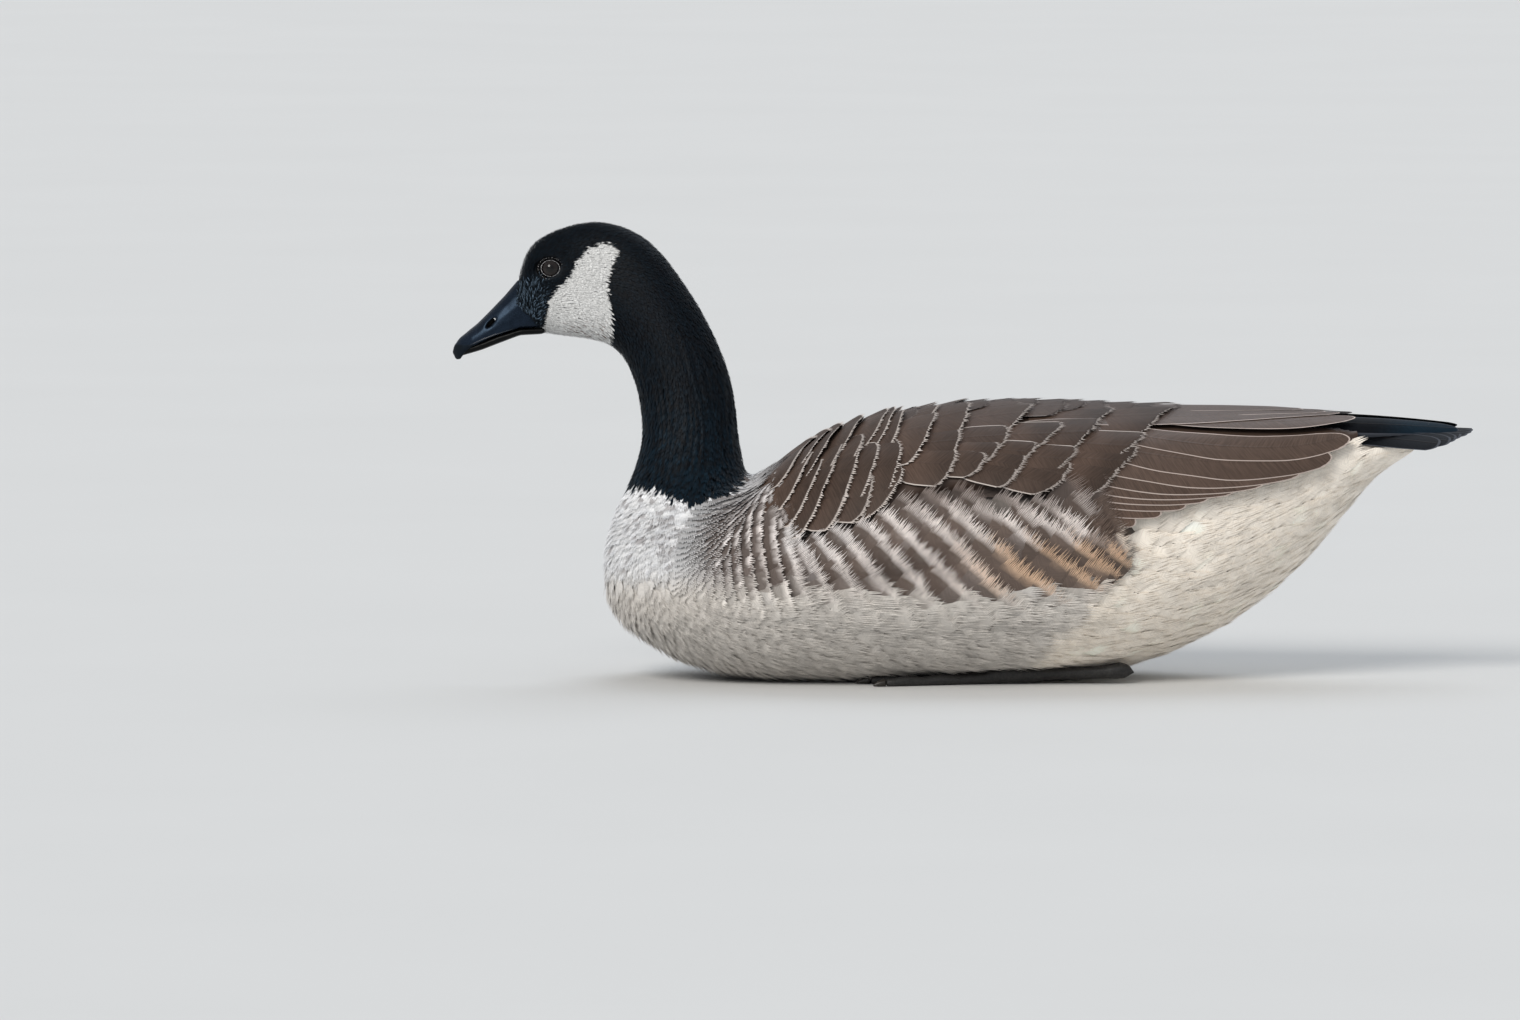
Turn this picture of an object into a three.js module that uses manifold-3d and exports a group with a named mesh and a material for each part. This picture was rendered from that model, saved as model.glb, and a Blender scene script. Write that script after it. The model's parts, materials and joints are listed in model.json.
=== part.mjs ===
// Canada goose at life size, afloat in pose: belly flat on the floor, neck raised, feet tucked under.
// Millimetres, +Z up. The bird faces -X, its left side is -Y, and the floor under its belly is z = 0.
// The origin is on the floor, half way between the tip of the bill and the tip of the tail.
import * as THREE from "three";
import { mergeVertices } from "three/addons/utils/BufferGeometryUtils.js";
import Module from "manifold-3d";

const wasm = await Module();
wasm.setup();

// Driving dimensions
const GAP = 0.3; // air between two neighbouring pieces
const HALF_SPAN = 337.3; // from the origin to the bill's tip and to the tail's tip
const RING_POINTS = 26; // corners of a section of the body
const RING_STEP = 0.5; // rings of the body stand this part of a station apart
const DEGREE = Math.PI / 180;

// Sections of the body from the tail to the bill's base. Each gives where its plane meets the
// line of the back and the line of the belly (x, z), half its width, how far down it is widest
// (0 at the back, 1 at the belly) and how square its lower half is (2 is an ellipse).
const STATIONS = [
  { at: "tail root", back: [291, 167.2], belly: [301, 153], half: 24, widest: 0.5, square: 2 },
  { at: "tail coverts", back: [255, 169.5], belly: [270, 131], half: 36, widest: 0.45, square: 2 },
  { at: "vent", back: [202, 175.5], belly: [229.7, 80.5], half: 52, widest: 0.4, square: 2.1 },
  { at: "rump", back: [140, 178.5], belly: [175, 35], half: 75, widest: 0.42, square: 2.2 },
  { at: "loins", back: [70, 182], belly: [93, 2], half: 94, widest: 0.45, square: 2.3 },
  { at: "back", back: [0, 181.5], belly: [5, -2.5], half: 103, widest: 0.47, square: 2.4 },
  { at: "mid back", back: [-65.3, 169.5], belly: [-95, -2.5], half: 101, widest: 0.48, square: 2.4 },
  { at: "shoulders", back: [-110, 149.5], belly: [-163, 2], half: 92, widest: 0.5, square: 2.3 },
  { at: "fore breast", back: [-134.6, 135], belly: [-217.1, 27.1], half: 78, widest: 0.5, square: 2.2 },
  { at: "breast", back: [-143.5, 133], belly: [-237.5, 60], half: 64, widest: 0.5, square: 2.1 },
  { at: "upper breast", back: [-145.2, 140.6], belly: [-236.3, 94.4], half: 49, widest: 0.5, square: 2 },
  { at: "neck foot", back: [-148.2, 155], belly: [-222.5, 124.5], half: 36, widest: 0.5, square: 2 },
  { at: "low neck", back: [-150.5, 173], belly: [-212.9, 153.1], half: 28.5, widest: 0.5, square: 2 },
  { at: "mid neck", back: [-153, 194], belly: [-213.5, 180], half: 26, widest: 0.5, square: 2 },
  { at: "high neck", back: [-164.3, 225.7], belly: [-222, 208], half: 25, widest: 0.5, square: 2 },
  { at: "nape", back: [-186, 263], belly: [-234, 220.5], half: 24.5, widest: 0.52, square: 2.1 },
  { at: "hind crown", back: [-210.5, 291.7], belly: [-252, 224.6], half: 24.5, widest: 0.56, square: 2.3 },
  { at: "crown", back: [-241, 302.3], belly: [-269, 226.8], half: 23, widest: 0.58, square: 2.4 },
  { at: "brow", back: [-271.9, 295], belly: [-279.2, 228.2], half: 20, widest: 0.6, square: 2.4 },
  { at: "forehead", back: [-287, 281], belly: [-284, 228.4], half: 16.2, widest: 0.64, square: 2.4 },
  { at: "bill base", back: [-293.4, 264.7], belly: [-287.1, 229], half: 13, widest: 0.7, square: 2.6 },
];
const LAST_STATION = STATIONS.length - 1;
const STATION_OF = Object.fromEntries(STATIONS.map((station, index) => [station.at, index]));

// Lengths of the body, each from one station to the next named one
const LENGTHS = [
  { name: "rump", from: "tail root", to: "vent" },
  { name: "trunk", from: "vent", to: "shoulders" },
  { name: "breast", from: "shoulders", to: "neck foot" },
  { name: "neck_lower", from: "neck foot", to: "mid neck" },
  { name: "neck_middle", from: "mid neck", to: "high neck" },
  { name: "neck_upper", from: "high neck", to: "hind crown" },
  { name: "head", from: "hind crown", to: "bill base" },
];

// Eyes
const EYE_RADIUS = 7.6;
const EYE_X = -271.9;
const EYE_Z = 271.3;
const EYE_OFFSET = 12.4; // from the middle plane to the eyeball's centre

// Bill: sections from the base to the tip, as upper and lower edge (x, z) and half width
const UPPER_BILL = [
  { top: [-293.8, 263.6], low: [-288.5, 232.8], half: 12.5 },
  { top: [-303, 252.5], low: [-297, 230.2], half: 11.8 },
  { top: [-313, 242], low: [-308, 226.8], half: 11 },
  { top: [-321, 234], low: [-317, 223], half: 10.2 },
  { top: [-326.8, 229.4], low: [-323.8, 219.5], half: 9.3 },
];
const BILL_NAIL = [
  { top: [-327.1, 229.1], low: [-324.1, 219.2], half: 9.1 },
  { top: [-332.6, 224.6], low: [-329.6, 214.8], half: 7.2 },
  { top: [-336.2, 219.6], low: [-332.4, 210.9], half: 4.6 },
  { top: [-HALF_SPAN, 215.4], low: [-334.8, 210.5], half: 2 },
];
const LOWER_BILL = [
  { top: [-288.5, 232.3], low: [-287.4, 229], half: 11.6 },
  { top: [-297, 229.7], low: [-295.5, 226.6], half: 11 },
  { top: [-308, 226.2], low: [-307, 222.2], half: 10.2 },
  { top: [-317, 222.4], low: [-316.5, 218.5], half: 9.2 },
  { top: [-323.8, 218.9], low: [-323.2, 215.8], half: 7.4 },
  { top: [-328, 215.3], low: [-327.6, 214], half: 4.6 },
];
const BILL_POINTS = 20;
const UPPER_BILL_WIDEST = 0.86;
const LOWER_BILL_WIDEST = 0.2;
const BILL_SQUARE = 4;
const NOSTRIL = { x: -311.8, z: 235.1, halfLength: 4.9, halfHeight: 1.6, tilt: 46 };

// Tail: a closed fan that droops towards its edges
const TAIL = {
  rootX: 270,
  rootHalf: 22,
  tipHalf: 42,
  tipRound: 17, // how far the outermost feathers end short of the middle ones
  droop: 8,
  thickness: 2.4,
  rootZ: 164.2,
  middleZ: 164.6,
  tipZ: 163,
  rings: 7,
  across: 8,
};

// Folded wings, as outlines seen from the side (x, z). The pieces share their edges.
const SHOULDER = [-131, 139];
const SCAPULAR_END = [67, 129];
const COVERT_END = [114, 112];
const WING_TIP = [239, 151];
const TERTIAL_TIP = [257, 163];
const SCAPULAR_EDGE_TOP = [112, 200];
const COVERT_EDGE_TOP = [168, 200];
const TERTIAL_EDGE_Z = 163;
const ABOVE_BACK = 200;
const WING_BEHIND = 262;
const WING_STATIONS = { from: 0.85, to: 8.75, step: 0.5 };
const WING_ANGLES = { top: 3, openTop: 46, bottom: 128, steps: 8 };
const WING_DEPTH = { ridge: 1.4, side: 7.6, front: 2 };
const WING_ROOT_DEPTH = -4; // the pieces start this far inside the body before it is cut out of them

// Primaries: the two blades that cross above the root of the tail
const PRIMARIES = {
  rootX: 226,
  tipX: 304,
  rootMiddle: 15.5,
  tipMiddle: 9,
  rootHalf: 10.5,
  tipHalf: 2.6,
  rootZ: 178.4,
  tipZ: 168.2,
  slope: 0.22,
  thickness: 2.2,
  rings: 6,
  across: 4,
};

// Legs, tucked under the flanks with the shank and the toes flat on the floor
const LEG_OFFSET = 47;
const ANKLE = { x: 104, z: 9.5, radius: 8.6 };
const TOE_JOINT = { x: 24, z: 6, radius: 6.4 };
const THIGH = { x: 66, z: 47, offset: 55, radius: 18 };
const WEB_THICKNESS = 1.8;
const WEB_BAY = 13; // how far the web's edge is drawn in between two toes
const DIGIT_POINTS = 8;
const WEB_SHORTFALL = 6; // how far the web stays behind the tips of the toes
const CLAW_LENGTH = 8;
const CLAW_CLEARANCE = 0.9; // from the end of a toe to its claw, which leans against it
const TOES = [
  { name: "inner", tip: [-36, 32], radius: 3.6 },
  { name: "middle", tip: [-62, 49], radius: 4.2 },
  { name: "outer", tip: [-52, 68], radius: 3.9 },
];
const HIND_TOE = { name: "hind", root: [23, 42, 5.5], tip: [40, 34.5, 3], radius: 2.8 };

const COLOURS = {
  black: { color: 0x15191f, roughness: 0.6 },
  white: { color: 0xd9dade, roughness: 0.8 },
  brown: { color: 0x6e5a4e, roughness: 0.75 },
  grey: { color: 0xa39a92, roughness: 0.8 },
  horn: { color: 0x10141c, roughness: 0.35 },
  foot: { color: 0x24221f, roughness: 0.55 },
  claw: { color: 0x17140f, roughness: 0.4 },
  eye: { color: 0x0d0806, roughness: 0.05 },
};

// Solids and meshes

function toSolid(geometry) {
  const bare = new THREE.BufferGeometry();
  bare.setAttribute("position", geometry.getAttribute("position"));
  bare.setIndex(geometry.getIndex());
  const merged = mergeVertices(bare, 1e-4);
  const mesh = new wasm.Mesh({
    numProp: 3,
    vertProperties: new Float32Array(merged.getAttribute("position").array),
    triVerts: new Uint32Array(merged.getIndex().array),
  });
  return new wasm.Manifold(mesh);
}

function toGeometry(solid) {
  const mesh = solid.getMesh();
  const geometry = new THREE.BufferGeometry();
  geometry.setAttribute("position", new THREE.BufferAttribute(mesh.vertProperties, 3));
  geometry.setIndex(new THREE.BufferAttribute(mesh.triVerts, 1));
  geometry.computeVertexNormals();
  return geometry;
}

function largestPiece(solid) {
  const pieces = solid.decompose();
  return pieces.reduce((best, piece) => (piece.volume() > best.volume() ? piece : best));
}

function joinAll(solids) {
  return solids.reduce((whole, solid) => whole.add(solid));
}

function signedVolume(points, faces) {
  return faces.reduce((sum, [a, b, c]) => sum + points[a].dot(points[b].clone().cross(points[c])), 0);
}

// A closed skin over rings of points. Each ring's first half mirrors its second half, so that an
// end is closed by joining every point to its partner, and both halves are split in the same way.
function loft(rings) {
  const size = rings[0].length;
  const points = rings.flat();
  const faces = [];
  for (let ring = 0; ring + 1 < rings.length; ring += 1) {
    for (let side = 0; side < size; side += 1) {
      const next = (side + 1) % size;
      const [a, b] = [ring * size + side, ring * size + next];
      if (side < size / 2) {
        faces.push([a, b, b + size], [a, b + size, a + size]);
      } else {
        faces.push([a, b, a + size], [b, b + size, a + size]);
      }
    }
  }
  const lastRing = (rings.length - 1) * size;
  for (let side = 0; side + 1 < size / 2; side += 1) {
    const [a, b] = [side, side + 1];
    const [c, d] = [size - 2 - side, size - 1 - side];
    faces.push([a, c, b], [a, d, c]);
    faces.push([lastRing + a, lastRing + b, lastRing + c], [lastRing + a, lastRing + c, lastRing + d]);
  }
  const sound = faces.filter(([a, b, c]) => a !== b && b !== c && a !== c);
  const outward = signedVolume(points, sound) > 0;
  const geometry = new THREE.BufferGeometry().setFromPoints(points);
  geometry.setIndex(sound.flatMap(([a, b, c]) => (outward ? [a, b, c] : [a, c, b])));
  return toSolid(geometry);
}

function mirrored(geometry) {
  const copy = geometry.clone();
  copy.applyMatrix4(new THREE.Matrix4().makeScale(1, -1, 1));
  const index = copy.getIndex().array;
  for (let corner = 0; corner < index.length; corner += 3) {
    [index[corner + 1], index[corner + 2]] = [index[corner + 2], index[corner + 1]];
  }
  copy.computeVertexNormals();
  return copy;
}

function belowFloor() {
  const depth = 60;
  const slab = new THREE.BoxGeometry(3 * HALF_SPAN, HALF_SPAN, depth);
  slab.translate(0, 0, -depth / 2);
  return toSolid(slab);
}

// Body

const backLine = new THREE.CatmullRomCurve3(
  STATIONS.map(({ back: [x, z] }) => new THREE.Vector3(x, 0, z)),
);
const bellyLine = new THREE.CatmullRomCurve3(
  STATIONS.map(({ belly: [x, z] }) => new THREE.Vector3(x, 0, z)),
);
const formLine = new THREE.CatmullRomCurve3(
  STATIONS.map(({ half, widest, square }) => new THREE.Vector3(half, widest, square)),
  false,
  "catmullrom",
  0.5,
);

// A point of a section that is drawn between its upper and its lower edge. The angle runs from
// the upper edge (0) over the side (90 degrees) to the lower edge (180).
function pointOfSection({ top, low, half, widest, square }, angle, grow = 0) {
  const down = low.clone().sub(top);
  const length = down.length() + 2 * grow;
  down.normalize();
  const upper = Math.cos(angle) >= 0;
  const power = 2 / (upper ? 2 : square);
  const reach = Math.abs(Math.cos(angle)) ** power;
  const along = upper ? widest * (1 - reach) : widest + (1 - widest) * reach;
  const point = top.clone().addScaledVector(down, along * length - grow);
  point.y = (half + grow) * Math.sign(Math.sin(angle)) * Math.abs(Math.sin(angle)) ** power;
  return point;
}

function sectionAt(station) {
  const t = THREE.MathUtils.clamp(station / LAST_STATION, 0, 1);
  const form = formLine.getPoint(t);
  return {
    top: backLine.getPoint(t),
    low: bellyLine.getPoint(t),
    half: form.x,
    widest: form.y,
    square: form.z,
  };
}

function sectionRing(section, count, grow = 0) {
  return Array.from({ length: count }, (_, index) =>
    pointOfSection(section, ((index + 0.5) * 2 * Math.PI) / count, grow),
  );
}

// The body between two stations. A trim above 0 draws both ends in, square to their planes.
function bodyLength(from, to, { grow = 0, trim = 0 } = {}) {
  const count = Math.round((to - from) / RING_STEP);
  const rings = [];
  for (let index = 0; index <= count; index += 1) {
    const section = sectionAt(from + index * RING_STEP);
    const down = section.low.clone().sub(section.top).normalize();
    const ahead = new THREE.Vector3(down.z, 0, -down.x);
    const inward = (index === 0 ? trim : 0) - (index === count ? trim : 0);
    rings.push(sectionRing(section, RING_POINTS, grow).map((p) => p.addScaledVector(ahead, inward)));
  }
  return loft(rings);
}

// Tail and primaries: flat blades, drawn as rings across them

function bladeRing(x, edges, count, topAt, thickness, grow = 0) {
  const [near, far] = [edges[0] - grow, edges[1] + grow];
  const across = Array.from({ length: count + 1 }, (_, index) => near + ((far - near) * index) / count);
  const upper = across.map((y) => new THREE.Vector3(x(y), y, topAt(y) + grow));
  const lower = across.map((y) => new THREE.Vector3(x(y), y, topAt(y) - thickness - grow));
  return [...upper, ...lower.reverse()];
}

function tailSolid(grow = 0) {
  const start = TAIL.rootX - grow;
  const rings = Array.from({ length: TAIL.rings + 1 }, (_, index) => {
    const t = index / TAIL.rings;
    const half = THREE.MathUtils.lerp(TAIL.rootHalf, TAIL.tipHalf, Math.sin((t * Math.PI) / 2));
    const spine = THREE.MathUtils.lerp(TAIL.middleZ, t < 0.5 ? TAIL.rootZ : TAIL.tipZ, Math.abs(2 * t - 1));
    const roundAt = (y) => TAIL.tipRound * t * (y / TAIL.tipHalf) ** 2;
    const lengthwise = (y) => start + (HALF_SPAN + grow - start) * t - roundAt(y);
    const topAt = (y) => spine + TAIL.thickness / 2 - TAIL.droop * (y / TAIL.tipHalf) ** 2;
    return bladeRing(lengthwise, [-half, half], TAIL.across, topAt, TAIL.thickness, grow);
  });
  return loft(rings);
}

function primariesSolid() {
  const rings = Array.from({ length: PRIMARIES.rings + 1 }, (_, index) => {
    const t = index / PRIMARIES.rings;
    const x = THREE.MathUtils.lerp(PRIMARIES.rootX, PRIMARIES.tipX, t);
    const middle = -THREE.MathUtils.lerp(PRIMARIES.rootMiddle, PRIMARIES.tipMiddle, t);
    const half = THREE.MathUtils.lerp(PRIMARIES.rootHalf, PRIMARIES.tipHalf, t * t);
    const spine = THREE.MathUtils.lerp(PRIMARIES.rootZ, PRIMARIES.tipZ, t);
    const topAt = (y) => spine - PRIMARIES.slope * Math.max(0, middle - y);
    const edges = [middle - half, middle + half];
    return bladeRing(() => x, edges, PRIMARIES.across, topAt, PRIMARIES.thickness);
  });
  return loft(rings);
}

// Wings

function sideOutline(corners, curves = {}) {
  const shape = new THREE.Shape();
  shape.moveTo(...corners[0]);
  for (let index = 1; index < corners.length; index += 1) {
    if (curves[index]) {
      shape.splineThru([...curves[index], corners[index]].map(([x, z]) => new THREE.Vector2(x, z)));
    } else {
      shape.lineTo(...corners[index]);
    }
  }
  return shape;
}

// A prism that stands over an outline seen from the side, on the left of the bird
function leftPrism(outline, near = 0.4) {
  const prism = new THREE.ExtrudeGeometry(outline, { depth: 140, bevelEnabled: false, curveSegments: 5 });
  prism.rotateX(Math.PI / 2);
  prism.translate(0, -near, 0);
  return toSolid(prism);
}

// How far the folded wing stands off the body: thin over the spine and at the shoulder
function wingDepth(station, angle) {
  const { ridge, side, front } = WING_DEPTH;
  const overSide = THREE.MathUtils.smoothstep(angle / DEGREE, 5, 62);
  const fromShoulder = THREE.MathUtils.smoothstep(STATION_OF["fore breast"] + 0.6 - station, 0, 2.4);
  const full = THREE.MathUtils.lerp(front, side, fromShoulder);
  return THREE.MathUtils.lerp(ridge, full, overSide);
}

// The upper edge of the wing leaves the spine behind the loins, so that the primaries show
function wingTopAngle(station) {
  const behind = THREE.MathUtils.smoothstep(STATION_OF.rump - station, 0.95, 2);
  return THREE.MathUtils.lerp(WING_ANGLES.top, WING_ANGLES.openTop, behind);
}

function wingShell(grow = 0) {
  const { from, to, step } = WING_STATIONS;
  const rings = [];
  const stations = [from];
  for (let station = Math.ceil(from / step) * step; station < to; station += step) {
    stations.push(station);
  }
  stations.push(to);
  for (const station of stations) {
    const section = sectionAt(station);
    const top = wingTopAngle(station) - 3 * grow;
    const angles = Array.from({ length: WING_ANGLES.steps + 1 }, (_, index) =>
      -THREE.MathUtils.lerp(top, WING_ANGLES.bottom, index / WING_ANGLES.steps) * DEGREE,
    );
    const outer = angles.map((angle) => pointOfSection(section, angle, wingDepth(station, -angle) + grow));
    const inner = angles.map((angle) => pointOfSection(section, angle, WING_ROOT_DEPTH));
    rings.push([...outer, ...inner.reverse()]);
  }
  return loft(rings);
}

// Where the rear edge of the coverts, with its gap, stands at a height
function behindCoverts(z) {
  const share = (z - COVERT_END[1]) / (COVERT_EDGE_TOP[1] - COVERT_END[1]);
  return [THREE.MathUtils.lerp(COVERT_END[0], COVERT_EDGE_TOP[0], share) + GAP, z];
}

// The line between the secondaries and the tertials, lifted by a gap for the upper piece
function tertialEdge(lift = 0) {
  const corners = [behindCoverts(TERTIAL_EDGE_Z), [190, 168], [229, 161], TERTIAL_TIP];
  return corners.map(([x, z]) => [x, z + lift]);
}

const WING_OUTLINES = {
  scapulars: sideOutline(
    [SHOULDER, SCAPULAR_END, SCAPULAR_EDGE_TOP, [SHOULDER[0], ABOVE_BACK]],
    { 1: [[-118, 120], [-104, 106], [-79, 110], [-47, 119], [-20, 133], [30, 136]] },
  ),
  coverts: sideOutline([
    [SCAPULAR_END[0] + GAP, SCAPULAR_END[1]],
    [92, 119],
    COVERT_END,
    [COVERT_EDGE_TOP[0], ABOVE_BACK],
    [SCAPULAR_EDGE_TOP[0] + GAP, ABOVE_BACK],
  ]),
  secondaries: sideOutline([
    behindCoverts(COVERT_END[1]),
    [169, 130],
    [212, 142],
    WING_TIP,
    [236, 157],
    ...tertialEdge().slice(0, 3).reverse(),
  ]),
  tertials: sideOutline([
    ...tertialEdge(1.5 * GAP),
    [WING_BEHIND, 167],
    [WING_BEHIND, ABOVE_BACK],
    behindCoverts(ABOVE_BACK),
  ]),
};

// Legs

// A round limb through the given points, with one radius for each
function limb(points, radii, grow = 0) {
  const path = points.map(([x, y, z]) => new THREE.Vector3(x, y, z));
  const ends = [path[1].clone().sub(path[0]), path.at(-1).clone().sub(path.at(-2))];
  path[0] = path[0].clone().addScaledVector(ends[0].normalize(), -grow);
  path[path.length - 1] = path.at(-1).clone().addScaledVector(ends[1].normalize(), grow);
  const rings = path.map((centre, index) => {
    const before = path[Math.max(0, index - 1)];
    const after = path[Math.min(path.length - 1, index + 1)];
    const heading = after.clone().sub(before).normalize();
    const aside = new THREE.Vector3(-heading.y, heading.x, 0).normalize();
    const up = heading.clone().cross(aside).normalize();
    return Array.from({ length: DIGIT_POINTS }, (_, corner) => {
      const angle = ((corner + 0.5) * 2 * Math.PI) / DIGIT_POINTS;
      const reach = radii[index] + grow;
      return centre.clone()
        .addScaledVector(up, reach * Math.cos(angle))
        .addScaledVector(aside, reach * Math.sin(angle));
    });
  });
  return loft(rings);
}

function toeSolid({ tip, radius }, grow = 0) {
  const root = [TOE_JOINT.x - 4, LEG_OFFSET];
  const bulges = [1.35, 1.15, 0.95, 1.12, 0.85, 0.98, 0.7];
  const points = bulges.map((bulge, index) => {
    const t = index / (bulges.length - 1);
    const x = THREE.MathUtils.lerp(root[0], tip[0], t);
    const y = THREE.MathUtils.lerp(root[1], tip[1], t);
    return [x, y, 0.75 * radius * bulge];
  });
  return limb(points, bulges.map((bulge) => radius * bulge), grow);
}

function hindToeSolid(grow = 0) {
  const { root, tip, radius } = HIND_TOE;
  return limb([root, tip], [radius, 0.75 * radius], grow);
}

function clawSolid({ tip, radius }, root, grow = 0) {
  const along = new THREE.Vector2(tip[0] - root[0], tip[1] - root[1]).normalize();
  const shape = [0.75, 0.55, 0.2];
  const points = shape.map((share, index) => {
    const reach = CLAW_CLEARANCE + (CLAW_LENGTH * radius * index) / (4 * (shape.length - 1));
    return [tip[0] + along.x * reach, tip[1] + along.y * reach, 0.75 * radius * share + 0.2];
  });
  return limb(points, shape.map((share) => radius * share), grow);
}

function webSolid(grow = 0) {
  const root = new THREE.Vector2(TOE_JOINT.x - 6, LEG_OFFSET);
  const [inner, middle, outer] = TOES.map(({ tip }) => {
    const end = new THREE.Vector2(...tip);
    return end.sub(end.clone().sub(root).setLength(WEB_SHORTFALL));
  });
  const bay = (a, b) => a.clone().lerp(b, 0.5).add(new THREE.Vector2(WEB_BAY, 0));
  const outline = new THREE.Shape();
  outline.moveTo(root.x, root.y - 3 - grow);
  outline.lineTo(inner.x, inner.y - grow);
  outline.quadraticCurveTo(...bay(inner, middle).toArray(), middle.x - grow, middle.y);
  outline.quadraticCurveTo(...bay(middle, outer).toArray(), outer.x, outer.y + grow);
  outline.lineTo(root.x, root.y + 3 + grow);
  const web = new THREE.ExtrudeGeometry(outline, {
    depth: WEB_THICKNESS + grow,
    bevelEnabled: false,
    curveSegments: 5,
  });
  return toSolid(web);
}

function footSolid(grow = 0) {
  const ball = [
    [TOE_JOINT.x + 3, LEG_OFFSET, TOE_JOINT.z],
    [TOE_JOINT.x - 8, LEG_OFFSET, TOE_JOINT.z - 1],
  ];
  const heel = limb(ball, [TOE_JOINT.radius, TOE_JOINT.radius], grow);
  return joinAll([heel, hindToeSolid(grow), webSolid(grow), ...TOES.map((toe) => toeSolid(toe, grow))]);
}

function shankSolid(grow = 0) {
  const front = TOE_JOINT.x + 3 + GAP;
  const points = [
    [ANKLE.x + 6, LEG_OFFSET, ANKLE.z + 2],
    [ANKLE.x, LEG_OFFSET, ANKLE.z],
    [ANKLE.x - 14, LEG_OFFSET, 7.5],
    [front + 16, LEG_OFFSET, 6],
    [front, LEG_OFFSET, TOE_JOINT.z],
  ];
  return limb(points, [5.5, ANKLE.radius, 6.4, 5.6, TOE_JOINT.radius], grow);
}

function thighSolid() {
  const points = [
    [ANKLE.x + 5, LEG_OFFSET, ANKLE.z + 9],
    [ANKLE.x - 8, LEG_OFFSET + 1, ANKLE.z + 15],
    [THIGH.x, THIGH.offset, THIGH.z],
  ];
  return limb(points, [7, 11, THIGH.radius]);
}

function rightLeg(grow = 0) {
  const claws = Object.fromEntries(
    TOES.map((toe) => [`claw_${toe.name}`, clawSolid(toe, [TOE_JOINT.x - 4, LEG_OFFSET], grow)]),
  );
  claws.claw_hind = clawSolid(HIND_TOE, HIND_TOE.root, grow);
  return { foot: footSolid(grow), shank: shankSolid(grow), ...claws };
}

// Bill

function billSolid(sections, widest) {
  const rings = sections.map(({ top, low, half }) => {
    const section = {
      top: new THREE.Vector3(top[0], 0, top[1]),
      low: new THREE.Vector3(low[0], 0, low[1]),
      half,
      widest,
      square: BILL_SQUARE,
    };
    return sectionRing(section, BILL_POINTS);
  });
  return loft(rings);
}

function nostrilSolid() {
  const { x, z, halfLength, halfHeight, tilt } = NOSTRIL;
  const outline = new THREE.Shape();
  outline.absellipse(0, 0, halfLength, halfHeight, 0, 2 * Math.PI, false, tilt * DEGREE);
  const plug = new THREE.ExtrudeGeometry(outline, { depth: 60, bevelEnabled: false, curveSegments: 7 });
  plug.rotateX(Math.PI / 2);
  plug.translate(x, 30, z);
  return toSolid(plug);
}

function eyeGeometry(side, grow = 0) {
  const ball = new THREE.IcosahedronGeometry(EYE_RADIUS + grow, 2);
  ball.translate(EYE_X, side * EYE_OFFSET, EYE_Z);
  ball.deleteAttribute("normal");
  ball.deleteAttribute("uv");
  return mergeVertices(ball, 1e-4);
}

// The whole bird

const goose = new THREE.Group();

function place(name, geometry, finish) {
  const mesh = new THREE.Mesh(geometry, new THREE.MeshStandardMaterial({ ...COLOURS[finish] }));
  mesh.name = name;
  goose.add(mesh);
}

// Places a solid on the side it was made for, and its mirror image on the other side
function placePair([side, otherSide], family, part, solid, finish) {
  const geometry = toGeometry(solid);
  place(`${family}_${side}_${part}`, geometry, finish);
  place(`${family}_${otherSide}_${part}`, mirrored(geometry), finish);
}

function bothSides(solid) {
  return solid.add(toSolid(mirrored(toGeometry(solid))));
}

const LEFT_FIRST = ["left", "right"];
const RIGHT_FIRST = ["right", "left"];
const FLESH_FINISH = { rump: "white", trunk: "grey", breast: "white" };
const underFloor = belowFloor();
const body = bodyLength(0, LAST_STATION, { grow: GAP });
const legRoom = bothSides(joinAll(Object.values(rightLeg(GAP))));
const sockets = joinAll([-1, 1].map((side) => toSolid(eyeGeometry(side, GAP))));

for (const { name, from, to } of LENGTHS) {
  let solid = bodyLength(STATION_OF[from], STATION_OF[to], { trim: GAP / 2 });
  if (name === "trunk" || name === "breast") {
    solid = solid.subtract(underFloor).subtract(legRoom);
  }
  if (name === "rump") {
    solid = solid.subtract(tailSolid(GAP));
  }
  if (name === "head") {
    solid = solid.subtract(sockets);
  }
  place(name, toGeometry(largestPiece(solid)), FLESH_FINISH[name] ?? "black");
}

place("bill_upper", toGeometry(billSolid(UPPER_BILL, UPPER_BILL_WIDEST).subtract(nostrilSolid())), "horn");
place("bill_nail", toGeometry(billSolid(BILL_NAIL, UPPER_BILL_WIDEST)), "horn");
place("bill_lower", toGeometry(billSolid(LOWER_BILL, LOWER_BILL_WIDEST)), "horn");
place("eye_left", eyeGeometry(-1), "eye");
place("eye_right", eyeGeometry(1), "eye");
place("tail", toGeometry(tailSolid()), "black");

const shell = wingShell();
for (const [part, outline] of Object.entries(WING_OUTLINES)) {
  const solid = shell.intersect(leftPrism(outline)).subtract(body);
  placePair(LEFT_FIRST, "wing", part, largestPiece(solid), "brown");
}
const primaries = primariesSolid().subtract(wingShell(GAP)).subtract(body);
placePair(LEFT_FIRST, "wing", "primaries", largestPiece(primaries), "black");

const thigh = thighSolid().subtract(body).subtract(shankSolid(GAP)).subtract(underFloor);
placePair(RIGHT_FIRST, "leg", "thigh", largestPiece(thigh), "grey");
for (const [part, solid] of Object.entries(rightLeg())) {
  const clear = part === "shank" ? solid.subtract(footSolid(GAP)) : solid;
  const finish = part.startsWith("claw") ? "claw" : "foot";
  placePair(RIGHT_FIRST, "leg", part, largestPiece(clear.subtract(underFloor)), finish);
}

export default goose;
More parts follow.
